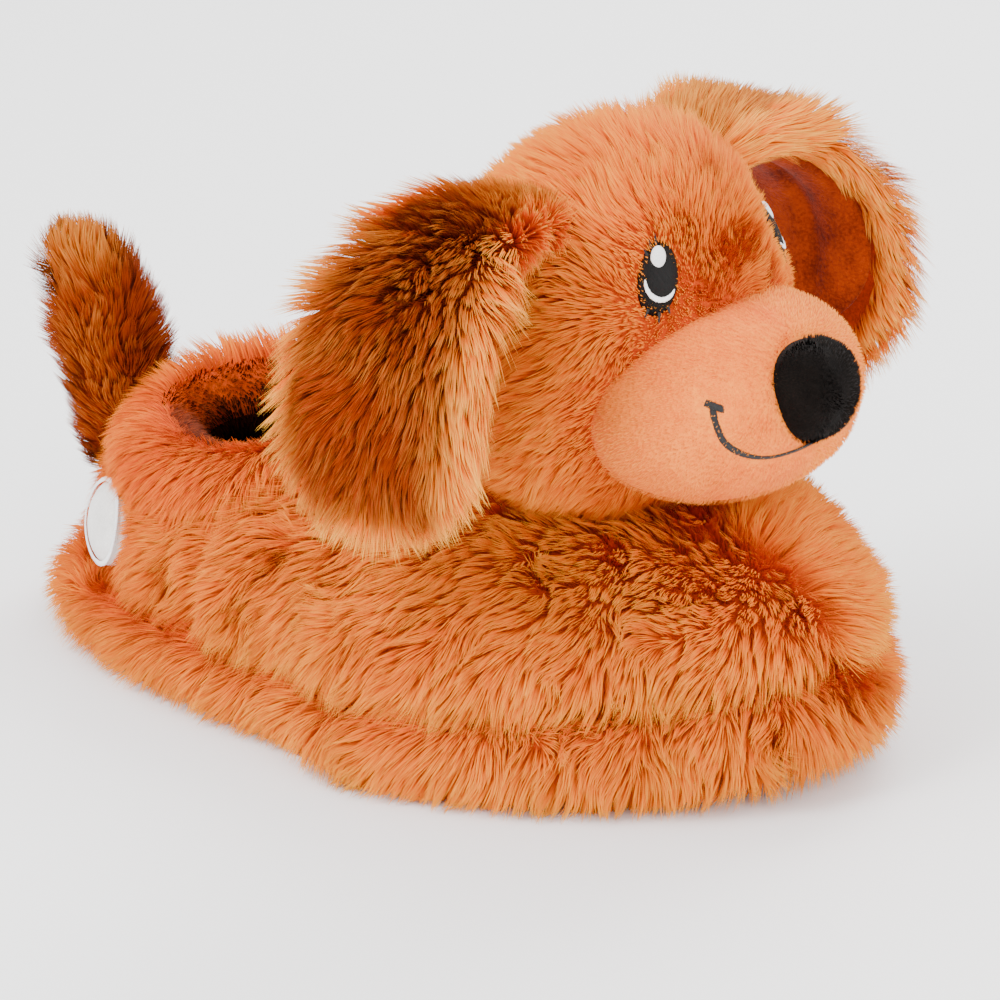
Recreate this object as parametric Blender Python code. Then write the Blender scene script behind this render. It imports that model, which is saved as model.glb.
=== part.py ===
"""Child's plush puppy slipper, right shoe, standing empty on its sole.

Frame: +X to the toe, +Y to the wearer's left, +Z up, metres. The origin is on the floor under the
middle of the sole. Every form is worked out from the sizes below and from short tables of shares.
The deep pile is modelled as short leaning locks that are part of each furry solid.
"""
import math
import random

import bmesh
import bpy
from mathutils import Vector
from mathutils.bvhtree import BVHTree

# Sole
SOLE_LENGTH = 0.210         # heel to toe, without the pile
BALL_WIDTH = 0.118          # widest place, without the pile
TOE_SWING = 0.004           # how far the toe leans to the wearer's left
OUTSOLE_THICK = 0.003
OUTSOLE_INSET = 0.007       # how far the tread stands inside the furry sole band
PLATFORM_THICK = 0.007
TOE_SPRING = 0.006
HEEL_SPRING = 0.002
ARCH_RISE = 0.0015
LIP_THICK = 0.006           # raised edge of the sole band around the upper
HEEL_LIP = 0.0035           # its height over the footbed
TOE_LIP = 0.0105
INSOLE_THICK = 0.003

# Upper
UPPER_WALL = 0.003
INSTEP_HEIGHT = 0.0625      # crest of the vamp over the floor
VAMP_PUFF = 0.005           # how far the padded vamp swells over the sole band
QUARTER_PUFF = 0.0018
VAMP_EDGE = -0.28           # rear edge of the vamp, as a share of the half length

# Collar
COLLAR_LENGTH = 0.082       # middle line of the padded cuff, heel to instep
COLLAR_SPAN = 0.058
COLLAR_BACK = 0.025         # from the heel end of the sole to the middle line
COLLAR_HEIGHT = 0.0415      # middle line over the floor, at heel and sides
COLLAR_CLIMB = 0.0115       # rise of the middle line to the instep
COLLAR_TILT = 0.006         # how much higher the left side stands than the right
CUFF_WIDTH = 0.019
CUFF_DEPTH = 0.020

# Head
HEAD_X = 0.047              # centre, from the middle of the sole
HEAD_Z = 0.093
HEAD_DEPTH = 0.066
HEAD_WIDTH = 0.080
HEAD_TALL = 0.082
MUZZLE_REACH = 0.027        # centre of the muzzle in front of the head's centre
MUZZLE_DROP = 0.010
MUZZLE_DEPTH = 0.050
MUZZLE_WIDTH = 0.072
MUZZLE_TALL = 0.042
NOSE_REACH = 0.022          # centre of the nose in front of the muzzle's centre
NOSE_LIFT = 0.004
NOSE_DEPTH = 0.018
NOSE_WIDTH = 0.021
NOSE_TALL = 0.022
EYE_WIDTH = 0.0105
EYE_TALL = 0.0165
EYE_THICK = 0.0015
EYE_TURN = 37.0             # degrees from straight ahead
EYE_LIFT = 25.5

# Ears
EAR_SPREAD = 0.074          # hanging part, from the middle plane
EAR_TOP = 0.1235            # top of the ear's middle surface over the floor
EAR_DROP = 0.052
EAR_WIDTH = 0.042
EAR_THICK = 0.008
EAR_SETBACK = 0.005         # ear's middle line behind the head's centre
LEFT_EAR_LIFT = 0.003       # the left ear is a little higher than the right
LEFT_EAR_SWING = 0.007      # and its tip hangs further forward
LINING_THICK = 0.0015
LINING_MARGIN = 0.004

# Tail
TAIL_LENGTH = 0.046
TAIL_WIDTH = 0.020
TAIL_LEAN = 0.012
TAIL_IN = 0.0035            # middle line of the tail ahead of the sole's end, at its root

# Heel patch
PATCH_WIDTH = 0.027
PATCH_TALL = 0.018
PATCH_THICK = 0.001
PATCH_PLACE = -0.75         # middle, as a share of the half length
PATCH_HEIGHT = 0.0275

# Pile
LOCK_LENGTH = 0.005         # body locks
FRINGE_LENGTH = 0.008       # ears and tail
BAND_LOCK = 0.004
LOCK_ROOM = 0.0012          # what a lock keeps clear of the next piece
LOCK_LEAN = 0.9             # how far a lock leans over, as a share of its length

GAP = 0.0003                # between pieces that rest on each other
SEAT = 0.0006               # side clearance of the upper inside the lip
CUT_OVER = 0.005            # how far a cutter runs past what it cuts

# Half width and sideways shift of the sole, from the heel at -1 to the toe at 1
#           along  half width  shift
OUTLINE = ((-1.00, 0.430, 0.00),
           (-0.60, 0.423, -0.25),
           (-0.25, 0.421, -0.85),
           (-0.05, 0.427, -0.80),
           (0.15, 0.487, -0.85),
           (0.30, 0.511, -0.45),
           (0.46, 0.513, 0.12),
           (0.62, 0.492, 0.62),
           (0.80, 0.462, 0.88),
           (1.00, 0.418, 1.00))

# Crest height of the upper as a share of the instep, and roundness of its section
#          along  crest  power
CREST = ((-1.00, 0.70, 2.5),
         (-0.60, 0.74, 2.5),
         (-0.30, 0.85, 2.4),
         (0.00, 0.98, 2.3),
         (0.20, 1.00, 2.3),
         (0.40, 0.98, 2.3),
         (0.60, 0.96, 2.3),
         (1.00, 0.95, 2.2))

# The ear's middle surface, from inside the head over the top and down
#        spread  drop  width  forward
EAR = ((0.30, 0.20, 0.52, -0.05),
       (0.42, 0.08, 0.56, -0.03),
       (0.56, 0.02, 0.62, 0.01),
       (0.72, 0.05, 0.72, 0.03),
       (0.87, 0.18, 0.86, 0.04),
       (0.96, 0.36, 0.98, 0.04),
       (1.00, 0.58, 1.02, 0.03),
       (1.00, 0.78, 0.92, 0.00),
       (0.98, 0.93, 0.68, -0.05),
       (0.97, 1.00, 0.36, -0.08))

# The tail's middle line from inside the heel, with its width
#         up    lean  width
TAIL = ((-0.22, -0.50, 0.80),
        (0.00, -0.08, 0.90),
        (0.20, 0.00, 1.00),
        (0.42, 0.12, 1.04),
        (0.64, 0.36, 1.00),
        (0.84, 0.72, 0.86),
        (0.96, 0.94, 0.56),
        (1.00, 1.00, 0.22))

# Section of the sole band: inward share of the lip's thickness, and share of its height
#              inward  up
BAND_LEVELS = ((1.00, 0.00),
               (0.15, 0.25),
               (0.00, 0.55),
               (0.12, 0.82),
               (0.50, 1.00),
               (1.00, 0.97))

# Section of a sewn oval: share of its half size, and share of its thickness
#              outward  up
OVAL_LEVELS = ((0.55, 0.0),
               (1.00, 0.0),
               (1.00, 0.5),
               (0.88, 0.9),
               (0.50, 1.0))
LINING_SHARE = 0.92         # width of the ear's lining beside the ear, before its margin
LINING_TOP = 0.9            # its outer face beside its back

STATIONS = 28               # slices of the shoe from heel to toe
COLUMNS = 16                # faces across the upper
CUFF_STEPS = 36
CUFF_SIDES = 10
END_POWER = 2.6             # roundness of the sole's two ends
HALF = SOLE_LENGTH / 2


# Curves through the tables

def along(table, column, place):
    """Smooth value of one column of a table at a place in its first column."""
    if place <= table[0][0]:
        return table[0][column]
    if place >= table[-1][0]:
        return table[-1][column]
    row = max(i for i in range(len(table) - 1) if table[i][0] <= place)
    before, after = table[max(row - 1, 0)], table[min(row + 2, len(table) - 1)]
    start, end = table[row], table[row + 1]
    step = end[0] - start[0]
    t = (place - start[0]) / step
    slope_in = (end[column] - before[column]) / (end[0] - before[0]) * step
    slope_out = (after[column] - start[column]) / (after[0] - start[0]) * step
    return ((2 * t ** 3 - 3 * t ** 2 + 1) * start[column] + (t ** 3 - 2 * t ** 2 + t) * slope_in
            + (3 * t ** 2 - 2 * t ** 3) * end[column] + (t ** 3 - t ** 2) * slope_out)


def ease(value):
    """Soft step from 0 to 1."""
    value = min(max(value, 0.0), 1.0)
    return value * value * (3 - 2 * value)


def signed_power(value, power):
    return math.copysign(abs(value) ** power, value)


# Outline and heights of the sole

def slices():
    """Places of the cross sections, closer together at both ends and at the vamp's rear edge."""
    even = [-math.cos(math.pi * i / STATIONS) for i in range(STATIONS + 1)]
    step = (VAMP_EDGE - 0.015, VAMP_EDGE + 0.015)
    kept = [u for u in even if min(abs(u - s) for s in step) > 0.03 or abs(u) > 0.99]
    return sorted(kept + list(step))


PLACES = slices()
LAST = len(PLACES) - 1


def outline_loop(inset):
    """Plan of the sole moved inward: heel end, right side, toe end, then the left side back."""
    loop = []
    for side, places in ((-1, PLACES), (1, PLACES[-2:0:-1])):
        for u in places:
            half = along(OUTLINE, 1, u) * BALL_WIDTH * math.sqrt(1 - min(abs(u), 1.0) ** END_POWER)
            loop.append(Vector((u * HALF, along(OUTLINE, 2, u) * TOE_SWING + side * half)))
    return [point - normal * inset for point, normal in zip(loop, loop_normals(loop))]


def loop_normals(loop):
    """Outward normals of a closed plan that runs counterclockwise."""
    normals = []
    for i, _ in enumerate(loop):
        chord = loop[(i + 1) % len(loop)] - loop[i - 1]
        normals.append(Vector((chord.y, -chord.x)).normalized())
    return normals


def rise(u):
    """How far the sole stands over the floor: toe spring, heel spring and arch."""
    toe = TOE_SPRING * (max(u - 0.52, 0.0) / 0.48) ** 2
    heel = HEEL_SPRING * (max(-u - 0.80, 0.0) / 0.20) ** 2
    arch = ARCH_RISE * math.sin(math.pi * (u + 0.50) / 0.38) ** 2 if -0.50 < u < -0.12 else 0.0
    return toe + heel + arch


def footbed(u):
    return OUTSOLE_THICK + GAP + PLATFORM_THICK + rise(u)


def lip(u):
    """Top of the sole band, low at the heel and high at the toe."""
    return footbed(u) + HEEL_LIP + (TOE_LIP - HEEL_LIP) * max((u + 0.3) / 1.3, 0.0)


def loop_places():
    """Place along the shoe of every point of an outline loop."""
    return PLACES + PLACES[-2:0:-1]


def ring(inset, height):
    """One level of the sole: the outline moved inward, at a height that follows the shoe."""
    return [Vector((point.x, point.y, height(u)))
            for point, u in zip(outline_loop(inset), loop_places())]


# Building blocks

def add_loop(bm, points):
    return [bm.verts.new(point) for point in points]


def join_loops(bm, lower, upper):
    """Quads between two closed loops; both run counterclockwise seen from the upper side."""
    count = len(lower)
    return [bm.faces.new((lower[i], lower[(i + 1) % count], upper[(i + 1) % count], upper[i]))
            for i in range(count)]


def close_across(bm, loop, up):
    """Close an outline loop with strips from its right side to its left side."""
    count = len(loop)
    faces = []
    for i in range(LAST):
        corners = [loop[i], loop[i + 1], loop[count - i - 1], loop[(count - i) % count]]
        single = [v for k, v in enumerate(corners) if v not in corners[:k]]
        faces.append(bm.faces.new(single if up else single[::-1]))
    return faces


def close_fan(bm, loop, up):
    """Close a loop with a fan around its middle."""
    middle = bm.verts.new(sum((v.co for v in loop), Vector()) / len(loop))
    faces = []
    for i, vert in enumerate(loop):
        corners = (vert, loop[(i + 1) % len(loop)], middle)
        faces.append(bm.faces.new(corners if up else corners[::-1]))
    return faces


def offset(bm, distance):
    """A copy of a form with its surface moved outward."""
    copy = bm.copy()
    copy.normal_update()
    moves = [vert.normal * distance for vert in copy.verts]
    for vert, move in zip(copy.verts, moves):
        vert.co += move
    return copy


def ellipsoid(centre, size, steps, rings, shape=None, power=2.0):
    """A rounded form with its poles up and down; shape adjusts the unit direction."""
    bm = bmesh.new()
    loops = []
    for k in range(1, rings):
        lat = math.pi * (k / rings - 0.5)
        loops.append(add_loop(bm, [on_ellipsoid(centre, size, 2 * math.pi * i / steps, lat, shape, power)
                                   for i in range(steps)]))
    for lower, upper in zip(loops, loops[1:]):
        join_loops(bm, lower, upper)
    for loop, lat, up in ((loops[0], -math.pi / 2, False), (loops[-1], math.pi / 2, True)):
        pole = bm.verts.new(on_ellipsoid(centre, size, 0.0, lat, shape, power))
        for i, vert in enumerate(loop):
            corners = (vert, loop[(i + 1) % steps], pole)
            bm.faces.new(corners if up else corners[::-1])
    return bm


def on_ellipsoid(centre, size, lon, lat, shape=None, power=2.0):
    """Point of a rounded form; lon 0 is the toe side, and it turns to the left."""
    share = 2.0 / power
    flat = signed_power(math.cos(lat), share)
    unit = Vector((flat * signed_power(math.cos(lon), share),
                   flat * signed_power(math.sin(lon), share),
                   signed_power(math.sin(lat), share)))
    if shape:
        unit = shape(unit)
    return Vector(centre) + Vector((unit.x * size[0], unit.y * size[1], unit.z * size[2])) / 2


def sweep(frames, sides, power):
    """A closed tube through frames of (centre, side vector, face vector)."""
    bm = bmesh.new()
    loops = []
    for centre, side, face in frames:
        loops.append(add_loop(bm, [centre + side * signed_power(math.cos(2 * math.pi * i / sides), power)
                                   + face * signed_power(math.sin(2 * math.pi * i / sides), power)
                                   for i in range(sides)]))
    for lower, upper in zip(loops, loops[1:]):
        join_loops(bm, lower, upper)
    close_fan(bm, loops[0], False)
    close_fan(bm, loops[-1], True)
    return bm


def face_outward(bm):
    bmesh.ops.recalc_face_normals(bm, faces=bm.faces[:])
    bm.normal_update()
    return bm


def clear_of(point, trees, margin):
    """True where a point is outside every tree's form by the margin."""
    for tree in trees:
        nearest, normal, _, distance = tree.find_nearest(point)
        behind = distance < 4 * LOCK_LENGTH and (point - nearest).dot(normal) < 0
        if distance < margin or behind:
            return False
    return True


def add_locks(bm, length, nap, chosen, trees, seed, floor):
    """Raise a leaning lock on each chosen face that stays clear of the neighbours."""
    chance = random.Random(seed)
    bm.normal_update()
    for face in bm.faces[:]:
        centre = face.calc_center_median()
        factor = chance.uniform(0.75, 1.15)
        if len(face.verts) != 4 or not chosen(centre, face.normal):
            continue
        lean = nap(centre)
        lean = lean - face.normal * lean.dot(face.normal)
        tip = centre + face.normal * length * factor + lean * length * LOCK_LEAN
        tip.z = max(tip.z, floor(tip))
        corners = [centre] + [vert.co for vert in face.verts]
        tested = [corner.lerp(tip, share) for corner in corners for share in (0.0, 0.35, 0.7)] + [tip]
        if not all(clear_of(point, trees, LOCK_ROOM) for point in tested):
            continue
        point = bm.verts.new(tip)
        ring_verts = face.verts[:]
        bm.faces.remove(face)
        for i, vert in enumerate(ring_verts):
            bm.faces.new((vert, ring_verts[(i + 1) % 4], point))
    return bm


# Objects and materials

def material(name, colour, roughness):
    made = bpy.data.materials.new(name)
    made.use_nodes = True
    shader = made.node_tree.nodes["Principled BSDF"]
    shader.inputs["Base Color"].default_value = (*colour, 1.0)
    shader.inputs["Roughness"].default_value = roughness
    shader.inputs["Metallic"].default_value = 0.0
    return made


def piece(name, bm, colour, roughness):
    """One named solid with its own material."""
    mesh = bpy.data.meshes.new(name)
    face_outward(bm).to_mesh(mesh)
    bm.free()
    made = bpy.data.objects.new(name, mesh)
    bpy.context.scene.collection.objects.link(made)
    mesh.materials.append(material(name + "_finish", colour, roughness))
    mesh.shade_smooth()
    mesh.set_sharp_from_angle(angle=math.radians(50))
    return made


def cut(made, name, bm):
    """Take a hidden form away from a piece."""
    mesh = bpy.data.meshes.new(name)
    face_outward(bm).to_mesh(mesh)
    bm.free()
    guide = bpy.data.objects.new(name, mesh)
    bpy.context.scene.collection.objects.link(guide)
    guide.hide_render = True
    guide.display_type = 'WIRE'
    boolean = made.modifiers.new(name, 'BOOLEAN')
    boolean.operation = 'DIFFERENCE'
    boolean.solver = 'EXACT'
    boolean.object = guide
    return guide


# Sole pieces

def outsole_form():
    """Tread layer with a rounded lower edge, flat on the floor at heel and forefoot."""
    bm = bmesh.new()
    edge = add_loop(bm, ring(OUTSOLE_INSET + OUTSOLE_THICK / 2, rise))
    side = add_loop(bm, ring(OUTSOLE_INSET, lambda u: rise(u) + OUTSOLE_THICK * 0.4))
    top = add_loop(bm, ring(OUTSOLE_INSET, lambda u: rise(u) + OUTSOLE_THICK))
    close_across(bm, edge, False)
    join_loops(bm, edge, side)
    join_loops(bm, side, top)
    close_across(bm, top, True)
    return bm


def platform_form():
    """Furry sole band: a tray whose raised lip goes round the upper."""
    def level(share):
        base = OUTSOLE_THICK + GAP
        return lambda u: base + rise(u) + (lip(u) - base - rise(u)) * share
    bm = bmesh.new()
    loops = [add_loop(bm, ring(LIP_THICK * inward, level(share))) for inward, share in BAND_LEVELS]
    loops.append(add_loop(bm, ring(LIP_THICK, footbed)))
    close_across(bm, loops[0], False)
    for lower, upper in zip(loops, loops[1:]):
        join_loops(bm, lower, upper)
    close_across(bm, loops[-1], True)
    return face_outward(bm)


def insole_form():
    """Foot pad that lies on the platform inside the upper."""
    inset = LIP_THICK + 2 * SEAT + UPPER_WALL
    bm = bmesh.new()
    low = add_loop(bm, ring(inset, lambda u: footbed(u) + GAP))
    top = add_loop(bm, ring(inset + INSOLE_THICK * 0.2, lambda u: footbed(u) + GAP + INSOLE_THICK))
    close_across(bm, low, False)
    join_loops(bm, low, top)
    close_across(bm, top, True)
    return bm


# Upper

def puff(u):
    """Swelling of the wall: the padded vamp steps out from the quarter at its rear edge."""
    step = ease((u - VAMP_EDGE + 0.02) / 0.04)
    return QUARTER_PUFF + (VAMP_PUFF - QUARTER_PUFF) * step


def wall_start(u):
    """Height where the upper leaves the lip."""
    return lip(u) + SEAT


def end_drop(u):
    """Share of the crest that is left toward the toe and the heel."""
    toe = max((u - 0.40) / 0.60, 0.0)
    heel = max((-u - 0.60) / 0.40, 0.0)
    return (1 - toe ** 2) ** 0.5 * (1 - heel ** END_POWER) ** (1 / END_POWER)


def crest(u):
    """Top of the section at a place along the shoe."""
    return wall_start(u) + (along(CREST, 1, u) * INSTEP_HEIGHT - wall_start(u)) * end_drop(u)


def swell(z, u):
    """Bulge of the wall: none at the lip, most in its lower third, none at the instep."""
    share = min(max((z - wall_start(u)) / (INSTEP_HEIGHT - wall_start(u)), 0.0), 1.0)
    return puff(u) * math.sin(math.pi * share ** 0.6)


def section_point(u, angle, right, left, right_normal, left_normal):
    """Point of the upper's section, from its right lower edge over the top to the left one."""
    power = 2 / along(CREST, 2, u)
    across = signed_power(math.cos(angle), power)
    z = wall_start(u) + (crest(u) - wall_start(u)) * max(math.sin(angle), 0.0) ** power
    plan = (right + left) / 2 + (right - left) / 2 * across
    plan = plan + (right_normal * (1 + across) + left_normal * (1 - across)) / 2 * swell(z, u)
    return Vector((plan.x, plan.y, z))


UPPER_INSET = LIP_THICK + SEAT


def upper_form():
    """Outer form of the upper as a closed solid: an upright skirt in the lip, and the dome over it."""
    bm = bmesh.new()
    plan = outline_loop(UPPER_INSET)
    normals = loop_normals(plan)
    count = len(plan)
    base = add_loop(bm, ring(UPPER_INSET, lambda u: footbed(u) + GAP))
    edge = add_loop(bm, ring(UPPER_INSET, wall_start))
    close_across(bm, base, False)
    join_loops(bm, base, edge)
    rows = [[edge[0]] * (COLUMNS + 1)]
    for i in range(1, LAST):
        row = [edge[i]]
        for j in range(1, COLUMNS):
            row.append(bm.verts.new(section_point(PLACES[i], math.pi * j / COLUMNS, plan[i],
                                                  plan[count - i], normals[i], normals[count - i])))
        rows.append(row + [edge[count - i]])
    rows.append([edge[LAST]] * (COLUMNS + 1))
    for first, second in zip(rows, rows[1:]):
        for j in range(COLUMNS):
            corners = [first[j], second[j], second[j + 1], first[j + 1]]
            bm.faces.new([v for k, v in enumerate(corners) if v not in corners[:k]])
    return face_outward(bm)


def cavity_form(form):
    """Room inside the upper, open at the bottom."""
    bm = offset(form, -UPPER_WALL)
    for vert, place in zip(bm.verts, loop_places()):
        vert.co.z = footbed(place) - CUT_OVER
    return bm


# Collar

COLLAR_X = -HALF + COLLAR_BACK + COLLAR_LENGTH / 2
COLLAR_MIDDLE = Vector((COLLAR_X, 0.0))


def collar_line(angle):
    """Middle line of the cuff; angle 0 is at the instep."""
    x = COLLAR_X + COLLAR_LENGTH / 2 * math.cos(angle)
    climb = COLLAR_CLIMB * ease((math.cos(angle) + 0.35) / 1.35)
    tilt = COLLAR_TILT * (1 + math.sin(angle)) / 2
    return Vector((x, COLLAR_SPAN / 2 * math.sin(angle), COLLAR_HEIGHT + climb + tilt))


def collar_form():
    """Padded cuff: a soft ring round the opening."""
    bm = bmesh.new()
    loops = []
    for i in range(CUFF_STEPS):
        angle = 2 * math.pi * i / CUFF_STEPS
        centre = collar_line(angle)
        outward = Vector((math.cos(angle) * COLLAR_SPAN, math.sin(angle) * COLLAR_LENGTH, 0)).normalized()
        loops.append(add_loop(bm, [centre + outward * CUFF_WIDTH / 2 * math.cos(turn)
                                   + Vector((0, 0, CUFF_DEPTH / 2 * math.sin(turn)))
                                   for turn in (2 * math.pi * k / CUFF_SIDES for k in range(CUFF_SIDES))]))
    for i in range(CUFF_STEPS):
        join_loops(bm, loops[i], loops[(i + 1) % CUFF_STEPS])
    return face_outward(bm)


def mouth_form():
    """Upright plug through the upper, as wide as the cuff's middle line."""
    bm = bmesh.new()
    turns = [2 * math.pi * i / CUFF_STEPS for i in range(CUFF_STEPS)]
    low = add_loop(bm, [Vector((*collar_line(t).xy, COLLAR_HEIGHT - CUFF_DEPTH / 4)) for t in turns])
    top = add_loop(bm, [Vector((*collar_line(t).xy, INSTEP_HEIGHT + CUFF_DEPTH)) for t in turns])
    close_fan(bm, low, False)
    join_loops(bm, low, top)
    close_fan(bm, top, True)
    return face_outward(bm)


# Head, muzzle and nose

HEAD_CENTRE = Vector((HEAD_X, 0.0, HEAD_Z))
HEAD_SIZE = (HEAD_DEPTH, HEAD_WIDTH, HEAD_TALL)
MUZZLE_CENTRE = HEAD_CENTRE + Vector((MUZZLE_REACH, 0.0, -MUZZLE_DROP))
NOSE_CENTRE = MUZZLE_CENTRE + Vector((NOSE_REACH, 0.0, NOSE_LIFT))


def head_shape(unit):
    """Full cheeks, a slightly narrower crown and a flatter brow."""
    cheek = 1 + 0.07 * max(-unit.z, 0.0) * 2 - 0.06 * max(unit.z, 0.0)
    brow = 1 - 0.05 * max(unit.x, 0.0) * max(unit.z, 0.0) * 2
    return Vector((unit.x * brow, unit.y * cheek, unit.z))


def head_form():
    return face_outward(ellipsoid(HEAD_CENTRE, HEAD_SIZE, 24, 13, head_shape))


def muzzle_shape(unit):
    """Wider and fuller below, with a softly narrowed front."""
    return Vector((unit.x, unit.y * (1 - 0.10 * max(unit.z, 0.0) - 0.08 * max(unit.x, 0.0)), unit.z))


def muzzle_form():
    return face_outward(ellipsoid(MUZZLE_CENTRE, (MUZZLE_DEPTH, MUZZLE_WIDTH, MUZZLE_TALL), 24, 12,
                                  muzzle_shape, 2.2))


def nose_form():
    return face_outward(ellipsoid(NOSE_CENTRE, (NOSE_DEPTH, NOSE_WIDTH, NOSE_TALL), 16, 10))


def lens(surface, width, tall, thick):
    """Oval patch that follows a surface; surface(a, b, lift) gives its points."""
    bm = bmesh.new()
    turns = [2 * math.pi * i / 16 for i in range(16)]
    def level(share, lift):
        return add_loop(bm, [surface(width / 2 * share * math.cos(t), tall / 2 * share * math.sin(t), lift)
                             for t in turns])
    loops = [level(outward, GAP + thick * up) for outward, up in OVAL_LEVELS]
    for lower, upper in zip(loops, loops[1:]):
        join_loops(bm, lower, upper)
    for loop, lift, up in ((loops[0], GAP, False), (loops[-1], GAP + thick, True)):
        middle = bm.verts.new(surface(0.0, 0.0, lift))
        for i, vert in enumerate(loop):
            corners = (vert, loop[(i + 1) % len(loop)], middle)
            bm.faces.new(corners if up else corners[::-1])
    return face_outward(bm)


def lifted(surface, a, b, lift):
    """Point of a two-way surface moved along its normal."""
    step = 0.0005
    across = surface(a + step, b) - surface(a - step, b)
    upward = surface(a, b + step) - surface(a, b - step)
    return surface(a, b) + across.cross(upward).normalized() * lift


def eye_surface(side):
    """The head's front beside the muzzle bridge, with a to the ear and b upward."""
    def plain(a, b):
        lon = math.radians(EYE_TURN) + a * 2 / HEAD_WIDTH
        lat = math.radians(EYE_LIFT) + b * 2 / HEAD_TALL
        return on_ellipsoid(HEAD_CENTRE, HEAD_SIZE, lon, lat, head_shape)
    def surface(a, b, lift):
        point = lifted(plain, a, b, lift)
        return Vector((point.x, point.y * side, point.z))
    return surface


# Ears and tail

def ear_frame(row, side):
    """Centre of the ear's middle surface and its half width, for side 1 on the left, -1 on the right."""
    spread, drop, width, forward = row
    swing = LEFT_EAR_SWING * drop if side > 0 else 0.0
    lift = LEFT_EAR_LIFT * (1 - drop) if side > 0 else 0.0
    centre = Vector((HEAD_X - EAR_SETBACK + forward * EAR_WIDTH + swing, spread * EAR_SPREAD,
                     EAR_TOP - drop * EAR_DROP + lift))
    return centre, width * EAR_WIDTH / 2


def ear_rows(side):
    """Frames of (centre, half width, outward normal) along one ear."""
    centres = [ear_frame(row, side) for row in EAR]
    rows = []
    for i, (centre, half) in enumerate(centres):
        chord = centres[min(i + 1, len(EAR) - 1)][0] - centres[max(i - 1, 0)][0]
        normal = Vector((0.0, -chord.z, chord.y)).normalized()
        flip = Vector((1.0, side, 1.0))
        rows.append((centre * flip, half, normal * flip))
    return rows


def ear_form(side):
    """Soft flap from the head over its top edge and down."""
    frames = [(centre, Vector((half, 0, 0)), normal * EAR_THICK / 2)
              for centre, half, normal in ear_rows(side)]
    return face_outward(sweep(frames, 16, 0.75))


def lining_form(side):
    """Short-pile lining on the hanging part's inner face."""
    bm = bmesh.new()
    loops = []
    rows = ear_rows(side)[3:-1]
    for centre, half, normal in rows:
        near = centre - normal * (EAR_THICK / 2 + GAP)
        far = near - normal * LINING_THICK
        reach = Vector((half * LINING_SHARE - LINING_MARGIN, 0, 0))
        loops.append(add_loop(bm, [near - reach, near, near + reach, far + reach * LINING_TOP, far,
                                   far - reach * LINING_TOP]))
    for lower, upper in zip(loops, loops[1:]):
        join_loops(bm, lower, upper)
    close_fan(bm, loops[0], False)
    close_fan(bm, loops[-1], True)
    return face_outward(bm)


TAIL_ROOT_Z = COLLAR_HEIGHT - CUFF_DEPTH / 4


def tail_form():
    """Upright stuffed tail from the back of the heel, leaning backward."""
    frames = []
    for up, lean, width in TAIL:
        centre = Vector((-HALF + TAIL_IN - lean * TAIL_LEAN, 0.0, TAIL_ROOT_Z + up * TAIL_LENGTH))
        frames.append((centre, Vector((width * TAIL_WIDTH / 2, 0, 0)),
                       Vector((0, width * TAIL_WIDTH / 2, 0))))
    return face_outward(sweep(frames, 10, 1.0))


# Heel patch

def patch_surface(a, b, lift):
    """The quarter's right side at the heel, with a toward the toe and b upward."""
    def plain(along_shoe, upward):
        u = PATCH_PLACE + along_shoe * 0.8 / HALF
        half = along(OUTLINE, 1, u) * BALL_WIDTH * math.sqrt(1 - abs(u) ** END_POWER)
        middle = along(OUTLINE, 2, u) * TOE_SWING
        step = 0.001
        ahead = along(OUTLINE, 1, u + step) * BALL_WIDTH * math.sqrt(1 - abs(u + step) ** END_POWER)
        normal = Vector((-(ahead - half), -step * HALF)).normalized()
        normal = Vector((normal.x, normal.y))
        z = PATCH_HEIGHT + upward
        power = 2 / along(CREST, 2, u)
        share = min(max((z - wall_start(u)) / (crest(u) - wall_start(u)), 0.0), 0.98)
        across = math.cos(math.asin(share ** (1 / power))) ** power
        right = Vector((u * HALF, middle - half)) - normal * UPPER_INSET
        plan = Vector((right.x, middle + (right.y - middle) * across)) + normal * swell(z, u)
        return Vector((plan.x, plan.y, z))
    return lifted(plain, a, b, lift)


# Where locks grow, and which way they lean

UPPER_NAP = Vector((-0.5, 0.0, -0.6))
BAND_NAP = Vector((-0.3, 0.0, -0.8))
HEAD_NAP = Vector((-0.7, 0.0, -0.5))
EAR_NAP = Vector((-0.3, 0.0, -0.9))
TAIL_NAP = Vector((-0.2, 0.0, 0.5))
BAND_SLOPE = 0.55           # least sideways share of a face's normal on the side of the band


def everywhere(point, normal):
    return True


def over_lip(point):
    """Lowest height for the upper's locks, just above the sole band."""
    return lip(min(point.x / HALF, 1.0)) + LOCK_ROOM


def above_band(point, normal):
    return point.z > lip(point.x / HALF) + BAND_LOCK / 2


def outside_band(point, normal):
    """True on the outer side of the sole band, not on the inner side of its lip."""
    u = min(max(point.x / HALF, -0.999), 0.999)
    half = along(OUTLINE, 1, u) * BALL_WIDTH * math.sqrt(1 - abs(u) ** END_POWER)
    middle = along(OUTLINE, 2, u) * TOE_SWING
    edge = LIP_THICK * 0.6
    outside = abs(point.y - middle) > half - edge or abs(point.x) > HALF - edge
    return outside and normal.xy.length > BAND_SLOPE and point.z < lip(point.x / HALF) - 0.001


def collar_nap(point):
    return (point - Vector((COLLAR_X, 0, point.z))).normalized()


def outer_cuff(point, normal):
    """True on the top and the outer side of the cuff, so that the mouth stays free."""
    return normal.z > -0.2 and normal.xy.dot(point.xy - COLLAR_MIDDLE) > -0.2 * CUFF_WIDTH


def outer_ear(side):
    """True on the ear's outer face and its top, where no head lies under it."""
    def chosen(point, normal):
        hanging = normal.y * side > -0.35 and point.y * side > HEAD_WIDTH * 0.42
        return hanging or normal.y * side > 0.2 and normal.z > 0.2
    return chosen


# Assembly

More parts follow.
